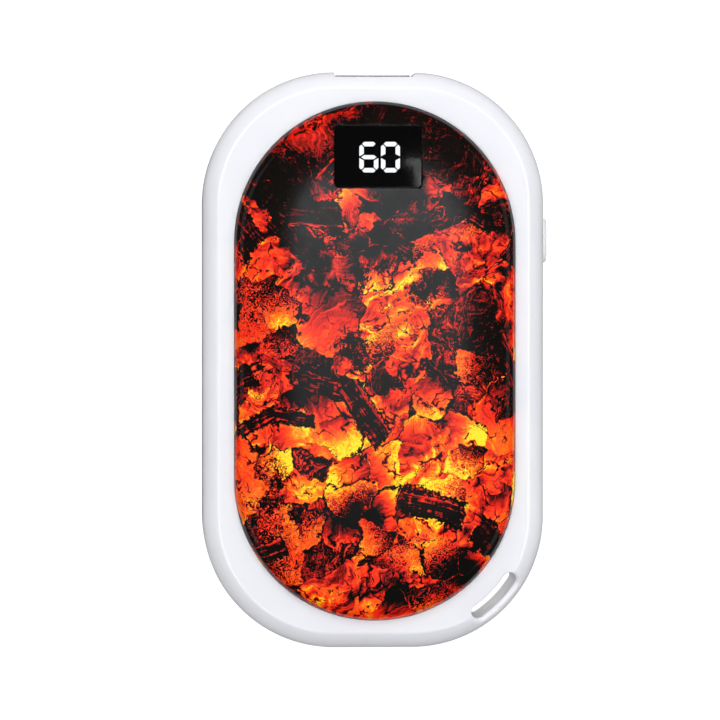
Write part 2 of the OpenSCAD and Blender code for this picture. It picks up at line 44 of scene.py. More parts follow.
# ---------------------------------------------------------------- dimensions (mm), as the CAD has them
BODY_W, BODY_L, BODY_T = 60.0, 101.2, 24.0
CR, ER, EW = 23.1, 4.8, 2.8
CX, CY = BODY_W / 2 - CR, BODY_L / 2 - CR
SEAM, FACE = 12.0, 22.0
BED, CEIL = 20.4, 19.0
WALL = 1.8
BED_R, COV_R, COV_Y = 24.68, 24.63, 20.83
COV_DX, COV_DY = 0.17, -0.14  # where the panel sits against the body's middle, from the photograph
RIM_Z, DISH_Z, DISH_R = 20.6, 22.6, 22.6
COV_ER, DROP, FLAT_R = 2.1, 0.35, 12.0
WIN = (0.7, 35.7, 15.4, 11.05, 1.0)
WIN_TOP, WIN_TILT = 23.6, 0.0218
DIGIT_W, DIGIT_H, STROKE, SEG_GAP, DIGIT_GAP = 3.40, 5.42, 0.85, 0.05, 0.39
FLAT_Y = 49.75
SLOT_R, SLOT_W, SLOT_A0, SLOT_A1 = 19.0, 2.4, 29.5, 59.0
BUTTON_X = 30.95


# ---------------------------------------------------------------- mesh helpers
def piece(name, bm, mats, body, smooth=30.0, replaces=None):
    """Object in metres from a bmesh in millimetres, riding on a body."""
    bmesh.ops.scale(bm, vec=(MM, MM, MM), verts=bm.verts)
    bmesh.ops.recalc_face_normals(bm, faces=bm.faces)
    me = bpy.data.meshes.new(name)
    bm.to_mesh(me)
    bm.free()
    o = bpy.data.objects.new(name, me)
    scene.collection.objects.link(o)
    for m in mats:
        me.materials.append(m)
    me.shade_smooth()
    me.set_sharp_from_angle(angle=math.radians(smooth))
    # large faces keep their own normals, so that small roundings don't bend the gloss beside them
    w = o.modifiers.new("weigh", "WEIGHTED_NORMAL")
    w.keep_sharp = True
    w.mode = "FACE_AREA_WITH_ANGLE"
    done = bpy.data.meshes.new_from_object(o.evaluated_get(bpy.context.evaluated_depsgraph_get()))
    o.modifiers.clear()
    o.data = done
    bpy.data.meshes.remove(me)
    done.name = name
    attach(o, body)
    if replaces:
        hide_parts(*([replaces] if isinstance(replaces, str) else replaces))
    return o


def loft(bm, loops, close_first=True, close_last=True, closed_tube=False):
    """Quads between consecutive loops of equal length; ends filled, or the last joined to the first."""
    rings = [[bm.verts.new(p) for p in lp] for lp in loops]
    n = len(rings[0])
    pairs = list(zip(rings, rings[1:])) + ([(rings[-1], rings[0])] if closed_tube else [])
    for a, b in pairs:
        for i in range(n):
            j = (i + 1) % n
            bm.faces.new((a[i], a[j], b[j], b[i]))
    if not closed_tube:
        if close_first:
            bm.faces.new(list(reversed(rings[0])))
        if close_last:
            bm.faces.new(rings[-1])
    return rings


def body_curve(inset, z, n_arc=30, n_long=24, n_short=10):
    """The body's plan outline pulled in by inset, counter-clockwise from the right-hand side's lower end."""
    r = CR - inset
    out = []
    for q, (sx, sy) in enumerate(((1, 1), (-1, 1), (-1, -1), (1, -1))):
        for k in range(n_arc + 1):
            a = math.pi / 2 * (q + k / n_arc)
            out.append((sx * CX + r * math.cos(a), sy * CY + r * math.sin(a), z))
        # straight run to the next corner
        m = n_short if q in (0, 2) else n_long
        nx, ny = ((-1, 1), (-1, -1), (1, -1), (1, 1))[q]
        a = math.pi / 2 * (q + 1)
        p0 = (sx * CX + r * math.cos(a), sy * CY + r * math.sin(a))
        p1 = (nx * CX + r * math.cos(a), ny * CY + r * math.sin(a))
        for k in range(1, m):
            t = k / m
            out.append((p0[0] + (p1[0] - p0[0]) * t, p0[1] + (p1[1] - p0[1]) * t, z))
    return out


def pill_near(points, r, z, hy=COV_Y):
    """For each outline point, the nearest point of the pill of radius r."""
    out = []
    for x, y, _ in points:
        cy = max(-hy, min(hy, y - COV_DY)) + COV_DY
        dx, dy = x - COV_DX, y - cy
        d = math.hypot(dx, dy)
        out.append((COV_DX + r * dx / d, cy + r * dy / d, z))
    return out


def pill_curve(r, z, hy=COV_Y, n_arc=72, n_long=28):
    out = []
    for s in (1, -1):
        for k in range(n_arc + 1):
            a = math.pi * k / n_arc + (0 if s > 0 else math.pi)
            out.append((COV_DX + r * math.cos(a), COV_DY + s * hy + r * math.sin(a), z))
        for k in range(1, n_long):
            t = k / n_long
            out.append((COV_DX - s * r, COV_DY + s * hy * (1 - 2 * t), z))
    return out


def rrect_curve(cx, cy, w, h, r, z, n=8):
    out = []
    for q, (sx, sy) in enumerate(((1, 1), (-1, 1), (-1, -1), (1, -1))):
        for k in range(n + 1):
            a = math.pi / 2 * (q + k / n)
            out.append((cx + sx * (w / 2 - r) + r * math.cos(a), cy + sy * (h / 2 - r) + r * math.sin(a), z))
    return out


def temp(bm):
    me = bpy.data.meshes.new("tmp")
    bm.to_mesh(me)
    bm.free()
    o = bpy.data.objects.new("tmp", me)
    scene.collection.objects.link(o)
    return o


def cut(bm, *cutters, how="DIFFERENCE"):
    """Boolean of closed bmeshes, in millimetres; returns a new bmesh."""
    base = temp(bm)
    others = [temp(c) for c in cutters]
    for c in others:
        m = base.modifiers.new("b", "BOOLEAN")
        m.operation = how
        m.solver = "EXACT"
        m.object = c
    dg = bpy.context.evaluated_depsgraph_get()
    me = bpy.data.meshes.new_from_object(base.evaluated_get(dg))
    out = bmesh.new()
    out.from_mesh(me)
    for o in [base, *others]:
        old = o.data
        bpy.data.objects.remove(o)
        bpy.data.meshes.remove(old)
    bpy.data.meshes.remove(me)
    return out


def box_bm(x0, x1, y0, y1, z0, z1):
    bm = bmesh.new()
    bmesh.ops.create_cube(bm, size=1)
    for v in bm.verts:
        v.co = ((x0 + x1) / 2 + v.co.x * (x1 - x0), (y0 + y1) / 2 + v.co.y * (y1 - y0), (z0 + z1) / 2 + v.co.z * (z1 - z0))
    return bm


def soften(bm, test, width, segments=2, angle=28.0):
    """Round the sharp edges whose middle passes test(co)."""
    bmesh.ops.remove_doubles(bm, verts=bm.verts, dist=0.004)
    edges = []
    for e in bm.edges:
        if len(e.link_faces) != 2:
            continue
        if math.degrees(e.calc_face_angle(0.0)) < angle:
            continue
        mid = (e.verts[0].co + e.verts[1].co) / 2
        if test(mid):
            edges.append(e)
    if edges:
        bmesh.ops.bevel(bm, geom=edges, offset=width, offset_type="OFFSET", segments=segments, profile=0.5, affect="EDGES", clamp_overlap=True)
    return bm


# ---------------------------------------------------------------- material helpers
class Nodes:
    """Short names for building a node tree."""

    def __init__(self, name):
        self.mat = bpy.data.materials.new(name)
        self.mat.use_nodes = True
        self.nt = self.mat.node_tree
        self.nt.nodes.clear()
        self.out = self.nt.nodes.new("ShaderNodeOutputMaterial")
        self.p = self.nt.nodes.new("ShaderNodeBsdfPrincipled")
        self.nt.links.new(self.p.outputs[0], self.out.inputs[0])
        tc = self.nt.nodes.new("ShaderNodeTexCoord")
        s = self.nt.nodes.new("ShaderNodeVectorMath")
        s.operation = "SCALE"
        self.nt.links.new(tc.outputs["Object"], s.inputs[0])
        s.inputs["Scale"].default_value = 1000.0
        self.mm = s.outputs[0]  # object coordinates in millimetres

    def put(self, socket, value):
        if hasattr(value, "is_output") or isinstance(value, bpy.types.NodeSocket):
            self.nt.links.new(value, socket)
        elif isinstance(value, (tuple, list)) and len(value) == 3 and len(getattr(socket, "default_value", (0,) * 3)) == 4:
            socket.default_value = (*value, 1.0)
        else:
            socket.default_value = value

    def math(self, op, a, b=0.0, c=0.0, clamp=False):
        n = self.nt.nodes.new("ShaderNodeMath")
        n.operation = op
        n.use_clamp = clamp
        for i, v in enumerate((a, b, c)):
            self.put(n.inputs[i], v)
        return n.outputs[0]

    def vmath(self, op, a, b=(0, 0, 0), scale=None):
        n = self.nt.nodes.new("ShaderNodeVectorMath")
        n.operation = op
        self.put(n.inputs[0], a)
        if scale is not None:
            self.put(n.inputs["Scale"], scale)
        else:
            self.put(n.inputs[1], b)
        return n.outputs["Value"] if op in ("LENGTH", "DISTANCE", "DOT_PRODUCT") else n.outputs[0]

    def noise(self, vec, scale, detail=2.0, rough=0.5, distort=0.0, colour=False, dims="3D", lac=2.0):
        n = self.nt.nodes.new("ShaderNodeTexNoise")
        n.noise_dimensions = dims
        self.put(n.inputs["Vector"], vec)
        self.put(n.inputs["Scale"], scale)
        n.inputs["Detail"].default_value = detail
        n.inputs["Roughness"].default_value = rough
        n.inputs["Lacunarity"].default_value = lac
        self.put(n.inputs["Distortion"], distort)
        return n.outputs["Color"] if colour else n.outputs["Fac"]

    def voronoi(self, vec, scale, feature="F1", dims="2D", metric="EUCLIDEAN", rand=1.0):
        n = self.nt.nodes.new("ShaderNodeTexVoronoi")
        n.voronoi_dimensions = dims
        n.feature = feature
        if feature in ("F1", "F2"):
            n.distance = metric
        self.put(n.inputs["Vector"], vec)
        n.inputs["Scale"].default_value = scale
        n.inputs["Randomness"].default_value = rand
        return n

    def ramp(self, fac, stops, interp="LINEAR"):
        n = self.nt.nodes.new("ShaderNodeValToRGB")
        n.color_ramp.interpolation = interp
        cr = n.color_ramp
        while len(cr.elements) < len(stops):
            cr.elements.new(0.5)
        for e, (pos, col) in zip(cr.elements, stops):
            e.position = pos
            e.color = (*col, 1.0) if isinstance(col, (tuple, list)) else (col, col, col, 1.0)
        self.put(n.inputs[0], fac)
        return n.outputs["Color"]

    def step(self, x, lo, hi, to0=0.0, to1=1.0, kind="SMOOTHSTEP"):
        n = self.nt.nodes.new("ShaderNodeMapRange")
        n.interpolation_type = kind
        self.put(n.inputs["Value"], x)
        self.put(n.inputs["From Min"], lo)
        self.put(n.inputs["From Max"], hi)
        self.put(n.inputs["To Min"], to0)
        self.put(n.inputs["To Max"], to1)
        return n.outputs[0]

    def mix(self, fac, a, b, mode="MIX"):
        n = self.nt.nodes.new("ShaderNodeMix")
        n.data_type = "RGBA"
        n.blend_type = mode
        n.clamp_factor = True
        self.put(n.inputs[0], fac)
        self.put(n.inputs[6], a)
        self.put(n.inputs[7], b)
        return n.outputs[2]

    def lerp(self, fac, a, b):
        n = self.nt.nodes.new("ShaderNodeMix")
        n.data_type = "FLOAT"
        n.clamp_factor = True
        self.put(n.inputs[0], fac)
        self.put(n.inputs[2], a)
        self.put(n.inputs[3], b)
        return n.outputs[0]

    def xyz(self, vec):
        n = self.nt.nodes.new("ShaderNodeSeparateXYZ")
        self.put(n.inputs[0], vec)
        return n.outputs

    def join(self, x=0.0, y=0.0, z=0.0):
        n = self.nt.nodes.new("ShaderNodeCombineXYZ")
        for i, v in enumerate((x, y, z)):
            self.put(n.inputs[i], v)
        return n.outputs[0]

    def rotate(self, vec, angle):
        n = self.nt.nodes.new("ShaderNodeVectorRotate")
        n.rotation_type = "Z_AXIS"
        self.put(n.inputs["Vector"], vec)
        self.put(n.inputs["Angle"], angle)
        return n.outputs[0]

    def bump(self, height, strength, dist_mm=0.05):
        n = self.nt.nodes.new("ShaderNodeBump")
        n.inputs["Strength"].default_value = strength
        n.inputs["Distance"].default_value = dist_mm * MM
        self.put(n.inputs["Height"], height)
        return n.outputs[0]

    def set(self, **kw):
        for k, v in kw.items():
            self.put(self.p.inputs[k.replace("_", " ")], v)
        return self


def srgb(r, g, b):
    return tuple((c / 255 / 12.92) if c <= 10.3 else ((c / 255 + 0.055) / 1.055) ** 2.4 for c in (r, g, b))


def plain(name, base, rough, metal=0.0, grain=1.5, vary=0.05, bump=0.05, bump_scale=6.0, bump_mm=0.02, stretch=(1, 1, 1), coat=0.0, **kw):
    """A moulded, rolled or plated surface: colour and roughness drift, with a fine relief."""
    n = Nodes(name)
    v = n.vmath("MULTIPLY", n.mm, stretch)
    drift = n.noise(v, grain * 0.1, 3, 0.55)
    fine = n.noise(v, bump_scale, 2, 0.6)
    dark = tuple(c * (1 - vary) for c in base)
    light = tuple(min(1.0, c * (1 + vary)) for c in base)
    n.set(Base_Color=n.mix(n.step(drift, 0.35, 0.65), dark, light))
    n.set(Roughness=n.step(fine, 0.3, 0.7, max(0.02, rough * 0.85), min(1.0, rough * 1.15)))
    n.set(Metallic=metal)
    n.set(Normal=n.bump(fine, bump, bump_mm))
    if coat:
        n.set(Coat_Weight=coat, Coat_Roughness=0.04)
    for k, val in kw.items():
        n.set(**{k: val})
    return n.mat


# ---------------------------------------------------------------- materials
def case_material():
    """White glossy moulded plastic, faintly cool, with a very low orange-peel in the gloss."""
    n = Nodes("case_white_gloss")
    drift = n.noise(n.mm, 0.06, 3, 0.5)
    n.set(Base_Color=n.mix(n.step(drift, 0.3, 0.7), (0.86, 0.862, 0.905), (0.885, 0.887, 0.925)))
    peel = n.noise(n.mm, 0.9, 2, 0.5)
    n.set(Roughness=n.step(n.noise(n.mm, 0.35, 4, 0.6), 0.3, 0.7, 0.12, 0.18))
    n.set(Normal=n.bump(peel, 0.12, 0.006))
    n.set(IOR=1.5)
    n.set(Subsurface_Weight=0.6, Subsurface_Radius=(1.0, 0.97, 0.94), Subsurface_Scale=0.0024)
    return n.mat


def ember_material(name, seed):
    """Generic bed of glowing coals printed under a clear gloss: lumps, ash crackle and charred sticks, all from noise and cells."""
    n = Nodes(name)
    x, y, z = n.xyz(n.mm)
    # the print wraps round the rim: its plan point moves outwards by the depth below the crown
    mid_y = n.math("MAXIMUM", n.math("MINIMUM", y, COV_Y), -COV_Y)
    away = n.vmath("NORMALIZE", n.join(x, n.math("SUBTRACT", y, mid_y), 0.0))
    depth = n.math("SUBTRACT", BODY_T / 2, n.math("ABSOLUTE", n.math("SUBTRACT", z, BODY_T / 2)))
    laid = n.vmath("ADD", n.join(x, y, 0.0), n.vmath("SCALE", away, scale=depth))
    p = n.vmath("ADD", laid, (seed * 61.7, seed * 37.3, 0.0))

    def centred(vec, scale, amount, detail=3, rough=0.55):
        return n.vmath("SCALE", n.vmath("SUBTRACT", n.noise(vec, scale, detail, rough, colour=True), (0.5, 0.5, 0.5)), scale=amount)

    def times(a, b):
        return n.math("MULTIPLY", a, b)

    def plus(*terms):
        out = terms[0]
        for v in terms[1:]:
            out = n.math("ADD", out, v)
        return out

    def less(a, b):
        return n.math("SUBTRACT", a, b)

    soft = centred(p, 0.10, 6.0, 2)
    mid = centred(p, 0.38, 2.2, 2)
    fine = centred(p, 1.2, 0.9, 3, 0.65)
    q = n.vmath("ADD", p, n.vmath("ADD", n.vmath("SCALE", soft, scale=0.5), mid))
    ragged = less(n.noise(p, 1.3, 4, 0.65), 0.5)

    # ---- warmth over the whole panel: cool at the port end, hottest below the middle
    along = n.step(y, 40.0, -6.0, 0.0, 1.0, "LINEAR")
    low = n.step(y, -14.0, -34.0)
    broad = n.noise(n.vmath("ADD", p, (13.0, 5.0, 0.0)), 0.055, 1, 0.5)
    patchy = n.noise(n.vmath("ADD", q, (41.0, 15.0, 0.0)), 0.10, 2, 0.5)
    warm = plus(times(less(broad, 0.5), 1.2), times(less(patchy, 0.5), 0.9), times(along, 0.49), times(low, -0.02), -0.33)

    # ---- ash crackle: contour lines of a warped noise
    wire = n.noise(n.vmath("ADD", p, n.vmath("SCALE", mid, scale=0.4)), 0.95, 2, 0.5, 1.1)
    ring = n.math("ABSOLUTE", less(n.math("FRACT", times(wire, 5.0)), 0.5))
    crisp = times(less(ring, 0.25), 1.0)
    grit = n.noise(p, 2.6, 3, 0.7)

    # ---- bed of glow: swirling flow with light and shade across it, and winding fissures
    def relief_of(vec, scale, detail, rough, distort, dx, dy, gain):
        here = n.noise(vec, scale, detail, rough, distort)
        there = n.noise(n.vmath("ADD", vec, (dx, dy, 0.0)), scale, detail, rough, distort)
        return here, times(less(there, here), gain)

    flow, shade = relief_of(q, 0.12, 4, 0.56, 1.5, 0.42, -0.58, 3.4)
    pebble, crumble = relief_of(n.vmath("ADD", p, n.vmath("SCALE", mid, scale=0.5)), 0.55, 4, 0.62, 0.4, 0.16, -0.22, 3.0)
    stroke = less(n.noise(n.join(times(flow, 30.0), times(patchy, 5.0), times(broad, 9.0)), 1.0, 2, 0.6), 0.5)
    t = plus(0.50, warm, times(less(flow, 0.5), 1.5), shade, times(stroke, 0.68), times(crumble, 0.12))
    fold = n.math("ABSOLUTE", less(n.noise(n.vmath("ADD", q, (21.0, 33.0, 0.0)), 0.2, 3, 0.55), 0.5))
    fold = n.step(fold, n.step(n.noise(p, 0.22, 2, 0.5), 0.42, 0.65, 0.0, 0.045), 0.0)
    t = n.lerp(fold, t, 0.05)
    seams = n.math("ABSOLUTE", less(flow, n.step(pebble, 0.3, 0.7, 0.44, 0.56, "LINEAR")))
    t = n.lerp(times(n.step(seams, 0.014, 0.004), n.step(pebble, 0.44, 0.52)), t, 0.08)

    def lumps(t, size, shift, sure, charred, crackled, lift):
        bent = n.vmath("ADD", n.vmath("ADD", q, n.vmath("SCALE", mid, scale=0.7)), n.vmath("ADD", n.vmath("SCALE", fine, scale=0.55), n.vmath("SCALE", soft, scale=0.45)))
        pc = n.vmath("ADD", n.vmath("SCALE", bent, scale=1 / size), shift)
        v = n.voronoi(pc, 1.0, rand=0.85)
        r, g, b = n.xyz(v.outputs["Color"])
        e = plus(times(n.voronoi(pc, 1.0, "DISTANCE_TO_EDGE", rand=0.85).outputs["Distance"], size), times(ragged, 0.7))
        loc = n.rotate(n.vmath("SCALE", n.vmath("SUBTRACT", pc, v.outputs["Position"]), scale=size), times(r, 6.283))
        u, w, _z = n.xyz(loc)
        lean = times(u, 1.0 / size)
        lean2 = times(w, 1.0 / size)
        want = n.math("LESS_THAN", n.math("FRACT", plus(times(g, 5.3), times(b, 2.1))), sure)
        streak = less(n.noise(n.join(times(u, 0.22), times(w, 1.9), times(r, 30.0)), 1.0, 3, 0.6), 0.5)
        glow = plus(lift, warm, times(less(g, 0.5), 0.28), times(lean, 0.75), times(streak, 0.85), times(crumble, 0.16))
        # crackled ash, lines closing up towards the cooler side
        line = n.step(plus(lean, times(ragged, 0.4)), -0.45, 0.35, 0.46, 0.06, "LINEAR")
        ash = plus(lift, 0.04, warm, times(lean, 0.60), times(less(grit, 0.5), 0.15), times(crumble, 0.35))
        ash = n.lerp(n.step(plus(ring, times(less(grit, 0.5), 0.16)), plus(line, 0.03), less(line, 0.05)), ash, n.math("MAXIMUM", less(ash, 0.46), 0.05))
        # char with red grain and cross cracks
        grain = n.noise(n.join(times(u, 0.3), times(w, 3.2), times(g, 40.0)), 1.0, 4, 0.6)
        cut_ = n.noise(n.join(times(u, 1.6), times(w, 0.4), times(b, 40.0)), 1.0, 2, 0.5)
        hot = n.step(plus(warm, times(lean2, 0.9)), -0.3, 0.5, 0.08, 0.40)
        char = plus(0.06, times(n.step(plus(grain, times(less(cut_, 0.5), 0.5)), 0.50, 0.60), hot), times(n.step(lean, 0.1, 0.5), 0.12), times(crumble, 0.45))
        glow = n.lerp(fold, glow, 0.06)
        dark_share = less(less(charred, times(along, 0.14)), times(low, 0.10))
        body = n.lerp(n.math("LESS_THAN", b, plus(dark_share, crackled)), glow, ash)
        body = n.lerp(n.math("LESS_THAN", b, dark_share), body, char)
        inside = times(n.step(plus(e, times(crisp, 0.3)), 0.02, 0.16), want)
        t = n.lerp(inside, t, body)
        width = n.step(plus(lean2, times(ragged, 1.6)), 0.05, 0.6, 0.0, 0.6, "LINEAR")
        rim = times(n.step(plus(less(e, width), times(crisp, 1.0)), 0.08, -0.08), want)
        rim = times(rim, n.step(width, 0.0, 0.1))
        return n.lerp(rim, t, 0.04)

    t = lumps(t, 12.5, (0.4, 0.0, 0.0), 0.60, 0.30, 0.16, 0.50)
    t = lumps(t, 5.6, (7.3, 3.1, 0.0), 0.40, 0.32, 0.26, 0.50)

    # ---- deep gaps
    gap = plus(n.noise(n.vmath("ADD", q, (12.0, 44.0, 0.0)), 0.085, 5, 0.58), times(ragged, 0.10))
    gap = n.step(plus(gap, times(along, -0.125), times(low, -0.03), times(crisp, -0.12)), 0.495, 0.53)
    specks = n.step(n.noise(n.vmath("ADD", p, mid), 0.9, 4, 0.68), 0.55, 0.66)
    t = n.lerp(gap, t, plus(0.0, times(n.noise(q, 0.3, 3, 0.6), 0.16), times(specks, n.step(warm, -0.35, 0.35, 0.05, 0.42))))

    # ---- charred sticks, each with its own turn, size and grain
    def sticks(t, size, shift, share, long, short, grain_fine, bend):
        bent = n.vmath("ADD", n.vmath("ADD", p, n.vmath("SCALE", soft, scale=0.2)), n.vmath("SCALE", mid, scale=bend))
        pc = n.vmath("ADD", n.vmath("SCALE", bent, scale=1 / size), shift)
        v = n.voronoi(pc, 1.0, rand=0.9)
        r, g, b = n.xyz(v.outputs["Color"])
        loc = n.rotate(n.vmath("SCALE", n.vmath("SUBTRACT", pc, v.outputs["Position"]), scale=size), times(r, 6.283))
        u, w, _z = n.xyz(loc)
        a = n.lerp(g, long[0], long[1])
        h = n.lerp(b, short[0], short[1])
        du = less(n.math("ABSOLUTE", plus(u, times(w, 0.25))), a)
        dw = less(n.math("ABSOLUTE", w), h)
        sdf = plus(n.math("MAXIMUM", du, dw), times(ragged, 1.6 + 1.6 * bend))
        pick = n.math("FRACT", plus(times(g, 7.31), times(b, 3.77)))
        want = n.math("LESS_THAN", pick, share)
        inside = times(n.step(sdf, 0.10, -0.10), want)
        grain = n.noise(n.join(times(u, 0.22), times(w, grain_fine), times(r, 40.0)), 1.0, 3, 0.55)
        cross = n.noise(n.join(times(u, 1.5), times(w, 0.5), times(g, 40.0)), 1.0, 2, 0.5)
        lit = n.step(plus(warm, times(less(pick, 0.15), 0.8)), -0.25, 0.55, 0.10, 0.5)
        streak = times(n.step(plus(grain, times(less(cross, 0.5), 0.55)), 0.54, 0.68), lit)
        side = times(n.step(less(w, h), -1.0, -0.25), times(n.math("GREATER_THAN", b, 0.4), 0.45))
        body = plus(0.05, times(n.noise(loc, 0.5, 2, 0.5), 0.12), n.math("MAXIMUM", streak, times(side, n.step(grain, 0.42, 0.52))))
        outline = times(n.step(n.math("ABSOLUTE", plus(sdf, 0.12)), 0.26, 0.12), want)
        glow = times(n.step(sdf, 0.9, 0.15, 0.0, 0.16), want)
        t = plus(t, times(glow, n.step(t, 0.25, 0.5)))
        t = n.lerp(inside, t, body)
        return n.lerp(outline, t, 0.04)

    t = sticks(t, 18.0, (2.2, 5.6, 0.0), 0.34, (4.0, 6.6), (1.8, 3.4), 2.3, 0.8)
    t = sticks(t, 13.0, (4.3, 8.1, 0.0), 0.36, (3.4, 6.2), (1.0, 2.4), 2.6, 0.3)

    # fine winding lines over the hottest parts, and a calmer, redder port end
    vein = n.math("ABSOLUTE", less(n.math("FRACT", times(plus(pebble, times(wire, 0.6)), 7.0)), 0.5))
    t = less(t, times(times(n.step(vein, 0.13, 0.03), n.step(t, 0.66, 0.86, 0.0, 0.36)), n.step(wire, 0.40, 0.52)))
    calm = n.step(y, 20.0, 44.0, 1.0, 0.80)
    t = plus(times(less(t, 0.26), calm), 0.26)
    t = plus(times(less(t, 0.5), 1.10), 0.55, times(less(grit, 0.5), n.step(t, 0.1, 0.5, 0.03, 0.12)))
    t = n.math("MINIMUM", t, plus(times(less(t, 0.68), 0.64), 0.68))
    t = less(t, n.step(t, 0.30, 0.12, 0.0, 0.07))
    colour = n.ramp(t, [
        (0.00, srgb(11, 11, 8)), (0.09, srgb(20, 11, 9)), (0.17, srgb(62, 11, 10)), (0.25, srgb(108, 13, 11)),
        (0.33, srgb(152, 17, 11)), (0.41, srgb(196, 24, 11)), (0.49, srgb(232, 32, 11)), (0.57, srgb(252, 44, 11)),
        (0.68, srgb(255, 66, 10)), (0.79, srgb(255, 100, 9)), (0.89, srgb(255, 150, 8)), (0.96, srgb(255, 200, 9)), (1.00, srgb(255, 232, 40))])
    n.set(Base_Color=colour)
    n.set(Roughness=n.step(n.noise(n.mm, 0.3, 3, 0.5), 0.3, 0.7, 0.09, 0.13))
    n.set(Normal=n.bump(n.noise(n.mm, 0.5, 1, 0.5), 0.04, 0.006))
    n.set(IOR=1.4)
    return n.mat


M = {}
M["case"] = case_material()
M["ember_front"] = ember_material("ember_print_front", 4.0)
M["ember_back"] = ember_material("ember_print_back", 2.3)


def window_material():
    n = Nodes("window_smoked")
    n.set(Base_Color=n.mix(n.noise(n.mm, 0.4, 2, 0.5), (0.0012, 0.0012, 0.0013), (0.002, 0.002, 0.0021)))
    n.set(Roughness=n.step(n.noise(n.mm, 0.6, 3, 0.5), 0.3, 0.7, 0.015, 0.03), IOR=1.5, Alpha=0.6)
    return n.mat


M["window"] = window_material()


def lit_material():
    n = Nodes("segment_lit")
    v = n.noise(n.mm, 1.2, 2, 0.5)
    n.set(Base_Color=n.mix(v, (0.9, 0.92, 0.95), (0.96, 0.97, 1.0)), Roughness=0.5)
    # light comes out of the upward faces only
    g = n.nt.nodes.new("ShaderNodeNewGeometry")
    up = n.step(n.xyz(g.outputs["Normal"])[2], 0.3, 0.6)
    n.set(Emission_Color=n.mix(up, (0.0, 0.0, 0.0), (0.93, 0.96, 1.0)), Emission_Strength=6.6)
    return n.mat


M["lit"] = lit_material()
M["unlit"] = plain("segment_unlit", (0.03, 0.03, 0.035), 0.5)
M["housing"] = plain("display_black", (0.005, 0.005, 0.005), 0.6, bump=0.15, Specular_IOR_Level=0.2)
M["glue"] = plain("adhesive_film", (0.75, 0.75, 0.7), 0.4, vary=0.08)
M["alu"] = plain("rolled_aluminium", (0.82, 0.83, 0.85), 0.32, metal=1.0, stretch=(0.05, 1, 1), bump=0.2, bump_scale=3.0)
M["foam"] = plain("foam_pad", (0.06, 0.06, 0.07), 0.95, vary=0.3, grain=8, bump=0.9, bump_scale=2.2, bump_mm=0.15)
M["gold"] = plain("contact_gold", (0.86, 0.62, 0.2), 0.22, metal=1.0, bump=0.1)
M["steel"] = plain("socket_steel", (0.63, 0.63, 0.65), 0.26, metal=1.0, stretch=(0.08, 1, 1), bump=0.15, bump_scale=4.0)
M["white_plastic"] = plain("socket_white", (0.82, 0.82, 0.8), 0.45, bump=0.1)
M["black_plastic"] = plain("socket_black", (0.02, 0.02, 0.02), 0.42, bump=0.15)
M["chip"] = plain("chip_black", (0.02, 0.02, 0.022), 0.6, bump=0.3, bump_scale=9.0)
M["tin"] = plain("tinned_lead", (0.7, 0.7, 0.72), 0.35, metal=1.0)
M["ferrite"] = plain("ferrite", (0.05, 0.05, 0.055), 0.7, vary=0.2, bump=0.5)
M["capacitor"] = plain("capacitor_tan", (0.38, 0.26, 0.14), 0.5, vary=0.12)
M["resistor"] = plain("resistor_black", (0.02, 0.02, 0.025), 0.5, vary=0.2)
M["switch"] = plain("switch_grey", (0.62, 0.62, 0.62), 0.45)
M["tape"] = plain("cell_tape", (0.78, 0.77, 0.7), 0.6, vary=0.08)
M["nickel"] = plain("tab_nickel", (0.66, 0.63, 0.58), 0.3, metal=1.0, stretch=(1, 0.1, 1))
M["wire_red"] = plain("wire_red", (0.5, 0.01, 0.01), 0.45)
M["wire_black"] = plain("wire_black", (0.015, 0.015, 0.015), 0.45)
M["wire_white"] = plain("wire_white", (0.8, 0.8, 0.78), 0.45)
M["sensor"] = plain("sensor_epoxy", (0.02, 0.02, 0.02), 0.2, bump=0.1)
M["screw"] = plain("screw_steel", (0.55, 0.55, 0.57), 0.3, metal=1.0, bump=0.1)


def board_material():
    """Green solder mask with copper tracks under it."""
    n = Nodes("circuit_board")
    c = n.voronoi(n.mm, 0.55, "DISTANCE_TO_EDGE", metric="EUCLIDEAN").outputs["Distance"]
    track = n.step(c, 0.06, 0.09, 1.0, 0.0)
    green = n.mix(n.noise(n.mm, 0.5, 3, 0.5), (0.004, 0.09, 0.035), (0.006, 0.12, 0.05))
    n.set(Base_Color=n.mix(n.math("MULTIPLY", track, 0.6), green, (0.03, 0.24, 0.09)))
    n.set(Roughness=n.lerp(track, 0.32, 0.25), Normal=n.bump(track, 0.4, 0.03))
    return n.mat


def film_material():
    """Amber polyimide film over a winding heater track."""
    n = Nodes("heater_film")
    w = n.nt.nodes.new("ShaderNodeTexWave")
    w.wave_type = "BANDS"
    w.bands_direction = "X"
    n.put(w.inputs["Vector"], n.mm)
    w.inputs["Scale"].default_value = 0.16
    w.inputs["Distortion"].default_value = 0.4
    line = n.step(w.outputs["Fac"], 0.45, 0.55)
    n.set(Base_Color=n.mix(line, (0.55, 0.24, 0.03), (0.36, 0.2, 0.1)))
    n.set(Roughness=n.lerp(line, 0.25, 0.35), Normal=n.bump(line, 0.5, 0.03))
    return n.mat


def pouch_material():
    """Laminated foil pouch, dull silver with soft creases."""
    n = Nodes("cell_pouch")
    crease_and_shade = n.noise(n.mm, 0.22, 5, 0.6, 0.4)
    # painted shade: the silver is painted darker where the creases sink and lighter on their rises, following the bump
    # height
    n.set(Base_Color=n.mix(crease_and_shade, (0.62, 0.63, 0.65), (0.78, 0.79, 0.8)), Metallic=0.9)
    n.set(Roughness=n.step(crease_and_shade, 0.3, 0.7, 0.28, 0.42), Normal=n.bump(crease_and_shade, 0.5, 0.12))
    return n.mat


M["board"] = board_material()
M["film"] = film_material()
M["pouch"] = pouch_material()

